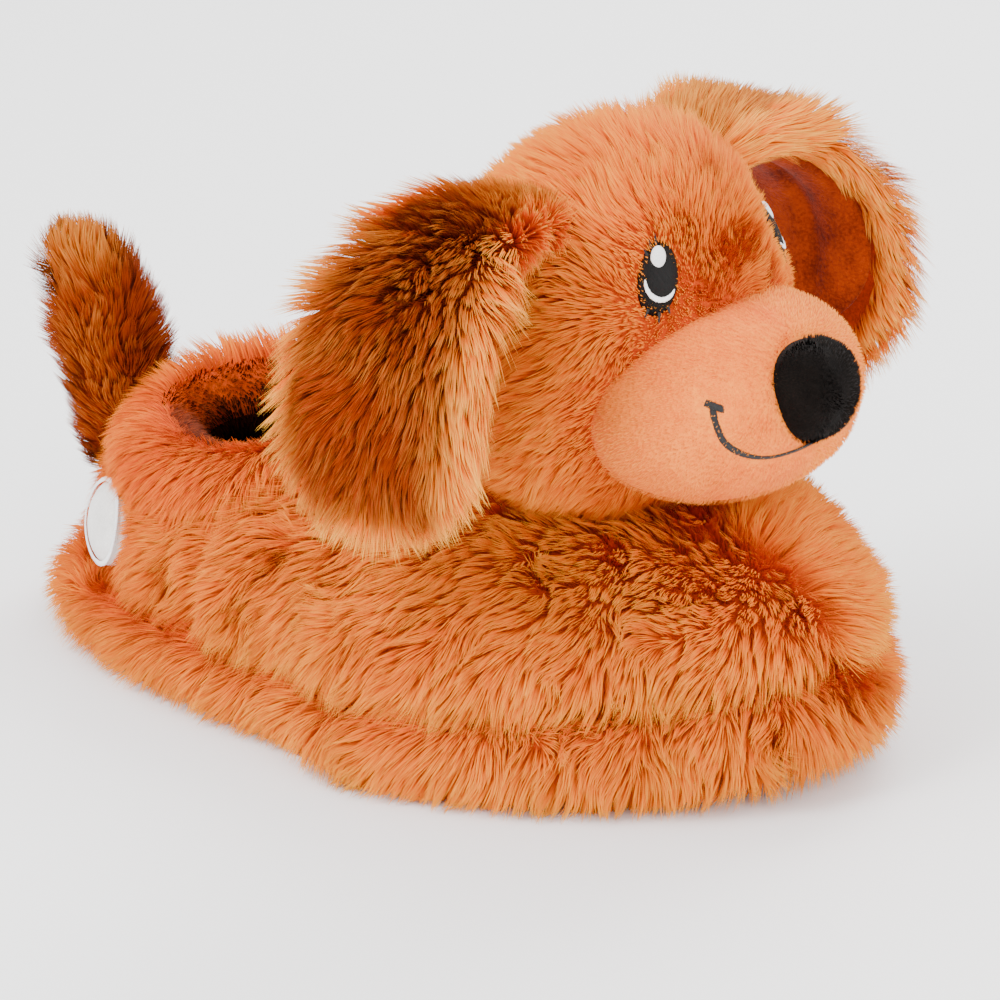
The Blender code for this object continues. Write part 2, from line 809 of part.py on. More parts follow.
FUR = (0.60, 0.20, 0.045)
DEEP_FUR = (0.50, 0.15, 0.03)
SHORT_FUR = (0.75, 0.36, 0.16)
BLACK = (0.02, 0.015, 0.015)
SOLE_BROWN = (0.10, 0.06, 0.04)
FLEECE = (0.42, 0.16, 0.06)
LINING_BROWN = (0.22, 0.05, 0.015)
FELT = (0.85, 0.83, 0.80)
MATT = 0.9
SATIN = 0.5


def build():
    for old in list(bpy.context.scene.objects):
        bpy.data.objects.remove(old, do_unlink=True)

    forms = {"platform": platform_form(), "upper": upper_form(), "collar": collar_form(),
             "head": head_form(), "muzzle": muzzle_form(), "nose": nose_form(), "tail": tail_form(),
             "ear_left": ear_form(1), "ear_right": ear_form(-1),
             "eye_left": lens(eye_surface(1), EYE_WIDTH, EYE_TALL, EYE_THICK),
             "eye_right": lens(eye_surface(-1), EYE_WIDTH, EYE_TALL, EYE_THICK),
             "heel_patch": lens(patch_surface, PATCH_WIDTH, PATCH_TALL, PATCH_THICK)}
    trees = {name: BVHTree.FromBMesh(bm) for name, bm in forms.items()}
    grown = {name: offset(forms[name], GAP * 1.3) for name in ("upper", "collar", "head", "muzzle")}
    cavity = cavity_form(forms["upper"])

    def furry(name, length, nap, chosen, near, seed, floor=lambda point: GAP):
        """The piece's form with locks that keep clear of the pieces named in near."""
        way = nap if callable(nap) else lambda point: nap
        add_locks(forms[name], length, way, chosen, [trees[other] for other in near], seed, floor)
        trees[name] = BVHTree.FromBMesh(forms[name])
        return forms[name]

    piece("outsole", outsole_form(), SOLE_BROWN, MATT)
    piece("insole", insole_form(), FLEECE, MATT)

    near_upper = ("collar", "head", "muzzle", "nose", "tail", "ear_left", "ear_right", "heel_patch")
    upper_fur = furry("upper", LOCK_LENGTH, UPPER_NAP, above_band, near_upper, 5, over_lip)
    upper = piece("upper", upper_fur, FUR, MATT)
    cut(upper, "cavity", cavity)
    cut(upper, "mouth", mouth_form())
    cut(upper, "collar_seat", grown["collar"])

    band_fur = furry("platform", BAND_LOCK, BAND_NAP, outside_band, ("upper",), 3)
    piece("platform", band_fur, FUR, MATT)
    near_collar = ("tail", "head", "upper", "heel_patch")
    piece("collar", furry("collar", LOCK_LENGTH, collar_nap, outer_cuff, near_collar, 7), FUR, MATT)

    near_head = ("muzzle", "nose", "ear_left", "ear_right", "eye_left", "eye_right", "upper")
    head = piece("head", furry("head", LOCK_LENGTH, HEAD_NAP, everywhere, near_head, 11), FUR, MATT)
    cut(head, "vamp_seat", grown["upper"].copy())
    muzzle = piece("muzzle", forms["muzzle"], SHORT_FUR, MATT)
    cut(muzzle, "head_front", grown["head"].copy())
    nose = piece("nose", forms["nose"], BLACK, MATT)
    cut(nose, "muzzle_front", grown["muzzle"])

    for side, name in ((1, "left"), (-1, "right")):
        piece("eye_" + name, forms["eye_" + name], BLACK, SATIN)
        ear_fur = furry("ear_" + name, FRINGE_LENGTH, EAR_NAP, outer_ear(side), ("head", "upper"), 13)
        ear = piece("ear_" + name, ear_fur, DEEP_FUR, MATT)
        cut(ear, "head_side_" + name, grown["head"].copy())
        piece("ear_lining_" + name, lining_form(side), LINING_BROWN, MATT)

    tail_fur = furry("tail", FRINGE_LENGTH, TAIL_NAP, everywhere, ("upper", "collar"), 17)
    tail = piece("tail", tail_fur, DEEP_FUR, MATT)
    cut(tail, "heel_back", grown["upper"])
    piece("heel_patch", forms["heel_patch"], FELT, MATT)


build()
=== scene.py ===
# %% [markdown]
# A child's plush slipper in the form of a puppy. Nearly everything that shows is deep pile: a knitted
# cloth with long fibres that were brushed one way, so they lie in soft, parted clumps. The lesson
# builds a smooth skin for each stuffed piece first, writes on it which way the pile lies, how long
# it is and how light, and then lets one Geometry Nodes tree grow the pile on every skin.

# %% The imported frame
import math

import bmesh
import bpy
import numpy as np
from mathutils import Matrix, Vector


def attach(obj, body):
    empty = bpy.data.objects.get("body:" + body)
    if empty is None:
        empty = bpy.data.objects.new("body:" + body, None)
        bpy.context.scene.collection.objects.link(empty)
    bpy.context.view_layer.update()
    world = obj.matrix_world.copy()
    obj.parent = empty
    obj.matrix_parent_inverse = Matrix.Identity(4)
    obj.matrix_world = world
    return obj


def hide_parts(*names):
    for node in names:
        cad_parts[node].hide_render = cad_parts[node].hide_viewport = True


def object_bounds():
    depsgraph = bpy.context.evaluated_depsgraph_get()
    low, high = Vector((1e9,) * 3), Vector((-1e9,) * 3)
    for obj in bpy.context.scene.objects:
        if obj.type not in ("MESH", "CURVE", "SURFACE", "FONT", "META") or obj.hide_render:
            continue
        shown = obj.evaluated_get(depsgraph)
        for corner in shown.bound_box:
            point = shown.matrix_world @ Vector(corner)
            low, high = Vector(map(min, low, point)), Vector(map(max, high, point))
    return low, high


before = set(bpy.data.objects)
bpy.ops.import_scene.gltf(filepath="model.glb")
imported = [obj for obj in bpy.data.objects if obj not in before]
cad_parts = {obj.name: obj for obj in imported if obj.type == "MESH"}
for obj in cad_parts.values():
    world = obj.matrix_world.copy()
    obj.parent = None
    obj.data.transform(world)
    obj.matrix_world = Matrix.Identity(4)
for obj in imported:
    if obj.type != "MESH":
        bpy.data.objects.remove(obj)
CAD_LOW, CAD_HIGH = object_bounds()
FLOOR_Z = CAD_LOW.z - 0.0006
print("solids:", sorted(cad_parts))
print("box of the solids, mm:", [round(v * 1000, 1) for v in (*CAD_LOW, *CAD_HIGH)])

# %% [markdown]
# The forms have the sizes of the solids in the frame. They are written again here as real sizes in
# metres, because the solids carry coarse locks and the pile needs smooth skins of the same shape.

# %% Sizes of the slipper
SOLE_LENGTH = 0.210
BALL_WIDTH = 0.118
TOE_SWING = 0.004
HALF = SOLE_LENGTH / 2
FOOTBED = 0.0103
LIP_THICK = 0.006
HEEL_LIP = 0.0035
TOE_LIP = 0.0105
SEAT = 0.0006
TOE_SPRING = 0.006
HEEL_SPRING = 0.002
ARCH_RISE = 0.0015
UPPER_WALL = 0.003
INSTEP_HEIGHT = 0.0625
VAMP_PUFF = 0.005
QUARTER_PUFF = 0.0018
VAMP_EDGE = -0.28
CREASE_DEPTH = 0.0026
END_POWER = 2.6

COLLAR_LENGTH = 0.082
COLLAR_SPAN = 0.058
COLLAR_HEIGHT = 0.0415
COLLAR_CLIMB = 0.0115
COLLAR_TILT = 0.006
CUFF_WIDTH = 0.019
CUFF_DEPTH = 0.020
COLLAR_BACK = 0.025
COLLAR_X = -HALF + COLLAR_BACK + COLLAR_LENGTH / 2

HEAD_CENTRE = Vector((0.047, 0.0, 0.093))
HEAD_SIZE = (0.066, 0.080, 0.082)
MUZZLE_CENTRE = HEAD_CENTRE + Vector((0.027, 0.0, -0.010))
MUZZLE_SIZE = (0.050, 0.072, 0.042)
NOSE_CENTRE = MUZZLE_CENTRE + Vector((0.0208, -0.0012, 0.0046))
NOSE_SIZE = (0.019, 0.0245, 0.0208)
EYE_WIDTH = 0.0105
EYE_TALL = 0.0165
EYE_TURN = math.radians(37.0)
EYE_LIFT = math.radians(25.5)

PATCH_WIDTH = 0.027
PATCH_TALL = 0.018
PATCH_PLACE = -0.75
PATCH_HEIGHT = 0.0275

EAR_SPREAD = 0.074
EAR_TOP = 0.1235
EAR_DROP = 0.052
EAR_WIDTH = 0.042
EAR_THICK = 0.008
EAR_X = 0.042
LEFT_EAR_LIFT = 0.003
LEFT_EAR_SWING = 0.007
TAIL_LENGTH = 0.046
TAIL_WIDTH = 0.020
TAIL_LEAN = 0.012
TAIL_IN = 0.0035
TAIL_ROOT_Z = COLLAR_HEIGHT - CUFF_DEPTH / 4

# Half width and sideways shift of the sole, from the heel at -1 to the toe at 1
OUTLINE = ((-1.00, 0.430, 0.00), (-0.60, 0.423, -0.25), (-0.25, 0.421, -0.85), (-0.05, 0.427, -0.80),
           (0.15, 0.487, -0.85), (0.30, 0.511, -0.45), (0.46, 0.513, 0.12), (0.62, 0.492, 0.62),
           (0.80, 0.462, 0.88), (1.00, 0.418, 1.00))

# Crest height of the upper as a share of the instep, and roundness of its section
CREST = ((-1.00, 0.70, 2.5), (-0.60, 0.74, 2.5), (-0.30, 0.85, 2.4), (0.00, 0.98, 2.3),
         (0.20, 1.00, 2.3), (0.40, 0.98, 2.3), (0.60, 0.96, 2.3), (1.00, 0.95, 2.2))

# The ear's middle surface: spread, drop, width and how far forward
EAR = ((0.30, 0.20, 0.52, -0.05), (0.42, 0.08, 0.56, -0.03), (0.56, 0.02, 0.62, 0.01),
       (0.72, 0.05, 0.72, 0.03), (0.87, 0.18, 0.86, 0.04), (0.96, 0.36, 0.98, 0.04),
       (1.00, 0.58, 1.02, 0.03), (1.00, 0.78, 0.92, 0.00), (0.98, 0.93, 0.68, -0.05),
       (0.97, 1.00, 0.36, -0.08))

# The tail's middle line: height, lean and width
TAIL = ((-0.22, -0.50, 0.80), (0.00, -0.08, 0.90), (0.20, 0.00, 1.00), (0.42, 0.12, 1.04),
        (0.64, 0.36, 1.00), (0.84, 0.72, 0.86), (0.96, 0.94, 0.56), (1.00, 1.00, 0.22))
print("sole", SOLE_LENGTH * 1000, "mm long,", BALL_WIDTH * 1000, "mm wide")

# %% [markdown]
# The photograph was taken with a long lens from the slipper's outer side, a little in front of it
# and above. The camera stands where a 135 mm lens gives the same perspective.

# %% Camera
VIEW_AZIMUTH = math.radians(38.0)
VIEW_HEIGHT = math.radians(20.0)
VIEW_TARGET = Vector((0.014, 0.0, 0.045))
LENS_MM = 135.0
SENSOR_MM = 36.0
PIXELS_PER_METRE = 4500.0
VIEW_BACK = Vector((math.sin(VIEW_AZIMUTH) * math.cos(VIEW_HEIGHT),
                    -math.cos(VIEW_AZIMUTH) * math.cos(VIEW_HEIGHT), math.sin(VIEW_HEIGHT)))
distance = LENS_MM / SENSOR_MM * 1000 / PIXELS_PER_METRE
camera_data = bpy.data.cameras.new("camera")
camera_data.lens = LENS_MM
camera_data.sensor_width = SENSOR_MM
camera_data.clip_start = 0.01
camera = bpy.data.objects.new("camera", camera_data)
bpy.context.scene.collection.objects.link(camera)
camera.location = VIEW_TARGET + VIEW_BACK * distance
camera.rotation_euler = VIEW_BACK.to_track_quat('Z', 'Y').to_euler()
bpy.context.scene.camera = camera
print("camera", round(distance, 3), "m from the slipper")

# %% [markdown]
# A product photograph on white: a pale seamless floor, one broad soft light from above the camera's
# left, a weaker one from the right, and a bright room around them.

# %% Floor and lights


def add_area(name, place, aim, size, watts):
    """A square soft light that looks at a point."""
    data = bpy.data.lights.new(name, 'AREA')
    data.size = size
    data.energy = watts
    light = bpy.data.objects.new(name, data)
    bpy.context.scene.collection.objects.link(light)
    light.location = place
    light.rotation_euler = (Vector(place) - Vector(aim)).to_track_quat('Z', 'Y').to_euler()
    return light


def plain_material(name, colour, roughness):
    made = bpy.data.materials.new(name)
    made.use_nodes = True
    shader = made.node_tree.nodes["Principled BSDF"]
    shader.inputs["Base Color"].default_value = (*colour, 1.0)
    shader.inputs["Roughness"].default_value = roughness
    return made


floor_mesh = bpy.data.meshes.new("floor")
reach = 3.0
floor_mesh.from_pydata([(-reach, -reach, FLOOR_Z), (reach, -reach, FLOOR_Z), (reach, reach, FLOOR_Z),
                        (-reach, reach, FLOOR_Z)], [], [(0, 1, 2, 3)])
floor = bpy.data.objects.new("floor", floor_mesh)
bpy.context.scene.collection.objects.link(floor)
floor_mesh.materials.append(plain_material("pale_floor", (0.97, 0.97, 0.97), 0.7))

add_area("key", (-0.35, -0.95, 1.00), (0.0, 0.0, 0.05), 0.7, 24.0)
add_area("fill", (1.00, -0.45, 0.55), (0.0, 0.0, 0.05), 0.9, 12.0)
add_area("back", (-0.20, 0.95, 0.90), (0.0, 0.0, 0.05), 0.8, 16.0)
world = bpy.data.worlds.new("studio")
world.use_nodes = True
world.node_tree.nodes["Background"].inputs["Color"].default_value = (1.0, 1.0, 1.0, 1.0)
world.node_tree.nodes["Background"].inputs["Strength"].default_value = 1.6
bpy.context.scene.world = world

# %% [markdown]
# The last of the shoe is a few curves: the plan of the sole, the height of the crest, and the way
# the wall swells over the sole band. One smooth curve goes through each column of a table.

# %% Curves of the last


def along(table, column, place):
    """Smooth value of one column of a table at a place in its first column."""
    place = min(max(place, table[0][0]), table[-1][0])
    row = max(i for i in range(len(table) - 1) if table[i][0] <= place)
    before, after = table[max(row - 1, 0)], table[min(row + 2, len(table) - 1)]
    start, end = table[row], table[row + 1]
    step = end[0] - start[0]
    t = (place - start[0]) / step
    slope_in = (end[column] - before[column]) / (end[0] - before[0]) * step
    slope_out = (after[column] - start[column]) / (after[0] - start[0]) * step
    return ((2 * t ** 3 - 3 * t ** 2 + 1) * start[column] + (t ** 3 - 2 * t ** 2 + t) * slope_in
            + (3 * t ** 2 - 2 * t ** 3) * end[column] + (t ** 3 - t ** 2) * slope_out)


def ease(value):
    value = min(max(value, 0.0), 1.0)
    return value * value * (3 - 2 * value)


def signed_power(value, power):
    return math.copysign(abs(value) ** power, value)


def half_width(u):
    return along(OUTLINE, 1, u) * BALL_WIDTH * math.sqrt(max(1 - min(abs(u), 1.0) ** END_POWER, 0.0))


def middle(u):
    return along(OUTLINE, 2, u) * TOE_SWING


def rise(u):
    toe = TOE_SPRING * (max(u - 0.52, 0.0) / 0.48) ** 2
    heel = HEEL_SPRING * (max(-u - 0.80, 0.0) / 0.20) ** 2
    arch = ARCH_RISE * math.sin(math.pi * (u + 0.50) / 0.38) ** 2 if -0.50 < u < -0.12 else 0.0
    return toe + heel + arch


def lip(u):
    return FOOTBED + rise(u) + HEEL_LIP + (TOE_LIP - HEEL_LIP) * max((u + 0.3) / 1.3, 0.0)


def crest(u):
    toe = max((u - 0.40) / 0.60, 0.0)
    heel = max((-u - 0.60) / 0.40, 0.0)
    drop = (1 - min(toe, 1.0) ** 2) ** 0.5 * (1 - min(heel, 1.0) ** END_POWER) ** (1 / END_POWER)
    start = lip(u) + SEAT
    return start + (along(CREST, 1, u) * INSTEP_HEIGHT - start) * drop


def swell(z, u):
    share = min(max((z - lip(u) - SEAT) / (INSTEP_HEIGHT - lip(u) - SEAT), 0.0), 1.0)
    step = ease((u - VAMP_EDGE + 0.02) / 0.04)
    crease = CREASE_DEPTH * math.exp(-((u - VAMP_EDGE + 0.03) / 0.022) ** 2)
    return (QUARTER_PUFF + (VAMP_PUFF - QUARTER_PUFF) * step - crease) * math.sin(math.pi * share ** 0.6)


SLICES = 84
PLACES = [-math.cos(math.pi * i / SLICES) for i in range(SLICES + 1)]
LAST = len(PLACES) - 1
LOOP_PLACES = PLACES + PLACES[-2:0:-1]


def loop_normals(loop):
    normals = []
    for i, _ in enumerate(loop):
        chord = loop[(i + 1) % len(loop)] - loop[i - 1]
        normals.append(Vector((chord.y, -chord.x)).normalized())
    return normals


def outline_loop(inset):
    """Plan of the sole moved inward, once round from the heel end."""
    loop = [Vector((u * HALF, middle(u) - half_width(u))) for u in PLACES]
    loop += [Vector((u * HALF, middle(u) + half_width(u))) for u in PLACES[-2:0:-1]]
    return [point - normal * inset for point, normal in zip(loop, loop_normals(loop))]


print("crest at the instep", round(crest(0.2) * 1000, 1), "mm, lip at the toe", round(lip(1) * 1000, 1))

# %% [markdown]
# A skin is a plain mesh with four things written on its points: `nap`, the way the pile is brushed;
# `reach`, the length of the fibres; `tone`, how light they are, painted light and shade included; and
# `cover`, which is 0 where another piece lies on the skin and no pile grows.

# %% Skins


def link(name, mesh):
    made = bpy.data.objects.new(name, mesh)
    bpy.context.scene.collection.objects.link(made)
    return made


def mesh_from(name, bm):
    bmesh.ops.remove_doubles(bm, verts=bm.verts[:], dist=1e-6)
    bmesh.ops.recalc_face_normals(bm, faces=bm.faces[:])
    mesh = bpy.data.meshes.new(name)
    bm.to_mesh(mesh)
    bm.free()
    mesh.shade_smooth()
    return mesh


def loft(loops, closed_ring=False, caps=True):
    """Quads between closed loops of points, in order."""
    bm = bmesh.new()
    rows = [[bm.verts.new(point) for point in loop] for loop in loops]
    pairs = list(zip(rows, rows[1:])) + ([(rows[-1], rows[0])] if closed_ring else [])
    for lower, upper in pairs:
        for i in range(len(lower)):
            j = (i + 1) % len(lower)
            bm.faces.new((lower[i], lower[j], upper[j], upper[i]))
    if caps and not closed_ring:
        for row in (rows[0], rows[-1]):
            centre = bm.verts.new(sum((v.co for v in row), Vector()) / len(row))
            for i in range(len(row)):
                bm.faces.new((row[i], row[(i + 1) % len(row)], centre))
    return bm


def write_pile(mesh, describe):
    """describe(point, normal) gives the nap, reach, tone and cover of each point."""
    count = len(mesh.vertices)
    nap = np.zeros((count, 3))
    reach_of = np.zeros(count)
    tone = np.zeros(count)
    cover = np.zeros(count)
    for i, vert in enumerate(mesh.vertices):
        way, reach_of[i], tone[i], cover[i] = describe(vert.co, vert.normal)
        flat = way - vert.normal * way.dot(vert.normal)
        nap[i] = flat.normalized() * min(way.length, 1.0) if flat.length > 1e-6 else flat
    mesh.attributes.new("nap", 'FLOAT_VECTOR', 'POINT').data.foreach_set("vector", nap.ravel())
    for name, values in (("reach", reach_of), ("tone", tone), ("cover", cover)):
        mesh.attributes.new(name, 'FLOAT', 'POINT').data.foreach_set("value", values)


def depth_in(point, centre, size):
    """Below 1 inside a rounded form, above 1 outside."""
    away = point - centre
    return math.sqrt((2 * away.x / size[0]) ** 2 + (2 * away.y / size[1]) ** 2
                     + (2 * away.z / size[2]) ** 2)


def on_ellipsoid(centre, size, lon, lat, shape=None, power=2.0):
    share = 2.0 / power
    flat = signed_power(math.cos(lat), share)
    unit = Vector((flat * signed_power(math.cos(lon), share), flat * signed_power(math.sin(lon), share),
                   signed_power(math.sin(lat), share)))
    if shape:
        unit = shape(unit)
    return centre + Vector((unit.x * size[0], unit.y * size[1], unit.z * size[2])) / 2


def rounded(centre, size, steps, rings, shape=None, power=2.0):
    loops = [[on_ellipsoid(centre, size, 2 * math.pi * i / steps, math.pi * (k / rings - 0.5), shape, power)
              for i in range(steps)] for k in range(1, rings)]
    return loft(loops)


def sweep(frames, sides, power):
    loops = [[centre + side * signed_power(math.cos(2 * math.pi * i / sides), power)
              + face * signed_power(math.sin(2 * math.pi * i / sides), power) for i in range(sides)]
             for centre, side, face in frames]
    return loft(loops)


print("skins are lofts of rings with nap, reach, tone and cover")

# %% [markdown]
# The pile itself is one Geometry Nodes tree. It scatters points on a skin, turns a bent blade at each
# point to the nap, pulls the tips of neighbours together so that clumps and partings form, and makes
# everything real. A blade has three triangles and no thickness, because there are tens of thousands
# of them. Each blade takes the skin's own normal, with a little chance, so the fur shades as a soft
# body and not as tin foil. Its place in colour is kept in a small UV map: across is how light the
# fibre is, and up is the way from root to tip.

# %% One blade of pile
BLADE_WIDTH = 0.00034


def make_blade():
    mesh = bpy.data.meshes.new("blade")
    side = BLADE_WIDTH / 2
    points = [(-side, 0.0, 0.0), (side, 0.0, 0.0), (-side * 0.8, 0.10, 0.52), (side * 0.8, 0.10, 0.52),
              (0.0, 0.34, 0.95)]
    mesh.from_pydata(points, [], [(0, 1, 3), (0, 3, 2), (2, 3, 4)])
    mesh.attributes.new("way", 'FLOAT', 'POINT').data.foreach_set("value", [0.0, 0.0, 0.52, 0.52, 1.0])
    made = bpy.data.objects.new("blade", mesh)
    return made


blade = make_blade()
print("blade:", len(blade.data.polygons), "triangles")

# %% The tree that grows pile


class Tree:
    """Small help for building a node tree: add a node, set values, join sockets."""

    def __init__(self, tree):
        self.tree = tree

    def add(self, kind, settings=None, **inputs):
        node = self.tree.nodes.new(kind)
        for key, value in (settings or {}).items():
            setattr(node, key, value)
        for key, value in inputs.items():
            self.put(node.inputs[key.replace("_", " ")], value)
        return node

    def put(self, socket, value):
        if isinstance(value, bpy.types.NodeSocket):
            self.tree.links.new(value, socket)
        else:
            socket.default_value = value

    def maths(self, operation, a, b=None):
        node = self.tree.nodes.new("ShaderNodeMath")
        node.operation = operation
        self.put(node.inputs[0], a)
        if b is not None:
            self.put(node.inputs[1], b)
        return node.outputs[0]

    def vector(self, operation, a, b=None, scale=None):
        node = self.tree.nodes.new("ShaderNodeVectorMath")
        node.operation = operation
        self.put(node.inputs[0], a)
        if b is not None:
            self.put(node.inputs[1], b)
        if scale is not None:
            self.put(node.inputs["Scale"], scale)
        return node.outputs[0]

    def named(self, name, kind='FLOAT'):
        node = self.tree.nodes.new("GeometryNodeInputNamedAttribute")
        node.data_type = kind
        node.inputs["Name"].default_value = name
        return node.outputs["Attribute"]

    def chance(self, low, high, seed):
        node = self.tree.nodes.new("FunctionNodeRandomValue")
        node.data_type = 'FLOAT'
        node.inputs[2].default_value = low
        node.inputs[3].default_value = high
        node.inputs["Seed"].default_value = seed
        return node.outputs[1]

    def keep(self, geometry, name, value, kind, domain):
        node = self.tree.nodes.new("GeometryNodeStoreNamedAttribute")
        node.data_type = kind
        node.domain = domain
        node.inputs["Name"].default_value = name
        self.put(node.inputs["Geometry"], geometry)
        self.put(node.inputs["Value"], value)
        return node.outputs["Geometry"]


def make_pile_tree():
    group = bpy.data.node_groups.new("pile", 'GeometryNodeTree')
    inputs = (("Geometry", 'NodeSocketGeometry', None), ("Blade", 'NodeSocketObject', None),
              ("Blades per Square Metre", 'NodeSocketFloat', 4.0e6), ("Seed", 'NodeSocketInt', 1),
              ("Lift", 'NodeSocketFloat', 1.25), ("Clump Size", 'NodeSocketFloat', 0.0030),
              ("Clump Pull", 'NodeSocketFloat', 85.0), ("Ruffle", 'NodeSocketFloat', 0.55),
              ("Width", 'NodeSocketFloat', 1.0),
              ("Finish", 'NodeSocketMaterial', None))
    for name, kind, value in inputs:
        socket = group.interface.new_socket(name, in_out='INPUT', socket_type=kind)
        if value is not None:
            socket.default_value = value
    group.interface.new_socket("Geometry", in_out='OUTPUT', socket_type='NodeSocketGeometry')
    t = Tree(group)
    given = group.nodes.new("NodeGroupInput").outputs
    scatter = t.add("GeometryNodeDistributePointsOnFaces", {"distribute_method": 'RANDOM'})
    t.put(scatter.inputs["Mesh"], given["Geometry"])
    t.put(scatter.inputs["Density"], t.maths('MULTIPLY', given["Blades per Square Metre"],
                                             t.named("cover")))
    t.put(scatter.inputs["Seed"], given["Seed"])
    normal = scatter.outputs["Normal"]
    place = group.nodes.new("GeometryNodeInputPosition").outputs[0]

    ruffle = t.add("ShaderNodeTexNoise", {"noise_dimensions": '3D'}, Vector=place, Scale=95.0, Detail=2.0)
    stir = t.vector('SCALE', t.vector('SUBTRACT', ruffle.outputs["Color"], (0.5, 0.5, 0.5)),
                    scale=t.maths('MULTIPLY', given["Ruffle"], 3.0))
    cells = t.add("ShaderNodeTexVoronoi", {"feature": 'F1'}, Vector=place)
    t.put(cells.inputs["Scale"], t.maths('DIVIDE', 1.0, given["Clump Size"]))
    gather = t.vector('SCALE', t.vector('SUBTRACT', cells.outputs["Position"], place),
                      scale=given["Clump Pull"])
    lean = t.vector('ADD', t.vector('SCALE', normal, scale=given["Lift"]), t.named("nap", 'FLOAT_VECTOR'))
    way = t.vector('NORMALIZE', t.vector('ADD', t.vector('ADD', lean, stir), gather))

    patch = t.add("ShaderNodeTexNoise", {"noise_dimensions": '3D'}, Vector=place, Scale=48.0, Detail=3.0)
    shade = t.maths('MULTIPLY', t.maths('SUBTRACT', patch.outputs[0], 0.5), 0.9)
    clump_shade = t.maths('MULTIPLY', t.maths('SUBTRACT', cells.outputs["Color"], 0.5), 0.22)
    tone = t.maths('ADD', t.maths('ADD', t.named("tone"), shade),
                   t.maths('ADD', clump_shade, t.chance(-0.13, 0.13, 7)))
    limits = t.add("ShaderNodeClamp", None, Value=tone, Min=0.02, Max=0.98)

    points = t.keep(scatter.outputs["Points"], "tone", limits.outputs[0], 'FLOAT', 'POINT')
    points = t.keep(points, "skin_normal", normal, 'FLOAT_VECTOR', 'POINT')
    length = t.maths('MULTIPLY', t.named("reach"), t.chance(0.72, 1.18, 3))
    size = t.add("ShaderNodeCombineXYZ", None, X=t.maths('MULTIPLY', given["Width"], t.chance(0.75, 1.25, 5)),
                 Y=length, Z=length)
    turn = t.add("FunctionNodeAxesToRotation", {"primary_axis": 'Z', "secondary_axis": 'Y'},
                 Primary_Axis=way, Secondary_Axis=t.vector('ADD', t.named("nap", 'FLOAT_VECTOR'), stir))
    source = t.add("GeometryNodeObjectInfo", {"transform_space": 'ORIGINAL'}, Object=given["Blade"])
    planted = t.add("GeometryNodeInstanceOnPoints", None, Points=points,
                    Instance=source.outputs["Geometry"], Rotation=turn.outputs[0], Scale=size.outputs[0])
    real = t.add("GeometryNodeRealizeInstances", None, Geometry=planted.outputs[0])

    spot = t.add("ShaderNodeSeparateXYZ", None, Vector=place)
    above = t.add("ShaderNodeCombineXYZ", None, X=spot.outputs[0], Y=spot.outputs[1],
                  Z=t.maths('MAXIMUM', spot.outputs[2], FLOOR_Z + 0.0004))
    held = t.add("GeometryNodeSetPosition", None, Geometry=real.outputs[0], Position=above.outputs[0])
    colour_place = t.add("ShaderNodeCombineXYZ", None, X=t.named("tone"), Y=t.named("way"))
    mapped = t.keep(held.outputs[0], "OFBake", colour_place.outputs[0], 'FLOAT2', 'CORNER')
    smooth = t.add("GeometryNodeSetShadeSmooth", None, Geometry=mapped)
    soft = group.nodes.new("GeometryNodeSetMeshNormal")
    soft.mode = 'FREE'
    soft.domain = 'POINT'
    t.put(soft.inputs["Mesh"], smooth.outputs[0])
    t.put(soft.inputs["Custom Normal"],
          t.vector('NORMALIZE', t.vector('ADD', t.named("skin_normal", 'FLOAT_VECTOR'),
                                         t.vector('SCALE', t.vector('SUBTRACT', ruffle.outputs["Color"],
                                                                    (0.5, 0.5, 0.5)), scale=0.8))))
    done = t.add("GeometryNodeSetMaterial", None, Geometry=soft.outputs[0], Material=given["Finish"])
    group.links.new(done.outputs[0], group.nodes.new("NodeGroupOutput").inputs[0])
    return group


pile_tree = make_pile_tree()
grown = []


def part_of(skin, inside):
    """A copy of a skin on which pile grows only where inside(point) is true."""
    copy = skin.copy()
    cover = copy.attributes["cover"].data
    for vert in copy.vertices:
        if not inside(vert.co):
            cover[vert.index].value = 0.0
    return copy


def through_tree(name, source, tree, wanted, spare):
    """Run a mesh through a node tree and keep the result as a plain mesh."""
    holder = link(name + "_holder", source)
    modifier = holder.modifiers.new("tree", 'NODES')
    modifier.node_group = tree
    for item in tree.interface.items_tree:
        if item.in_out == 'INPUT' and item.name in wanted:
            modifier[item.identifier] = wanted[item.name]
    graph = bpy.context.evaluated_depsgraph_get()
    mesh = bpy.data.meshes.new_from_object(holder.evaluated_get(graph), depsgraph=graph)
    for attribute in spare:
        if attribute in mesh.attributes:
            mesh.attributes.remove(mesh.attributes[attribute])
    mesh.name = name
    bpy.data.objects.remove(holder)
    return link(name, mesh)


def grow(name, skin, finish, slot, **values):
    """Grow pile on a skin and keep it as a plain mesh that rides with the slipper."""
    wanted = {"Blade": blade, "Finish": finish, "Seed": len(grown) + 11, **values}
    made = through_tree(name, skin, pile_tree, wanted,
                        ("nap", "reach", "tone", "cover", "way", "skin_normal"))
    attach(made, "root")
    grown.append(made)
    print(name, len(made.data.polygons), "triangles")
    return made
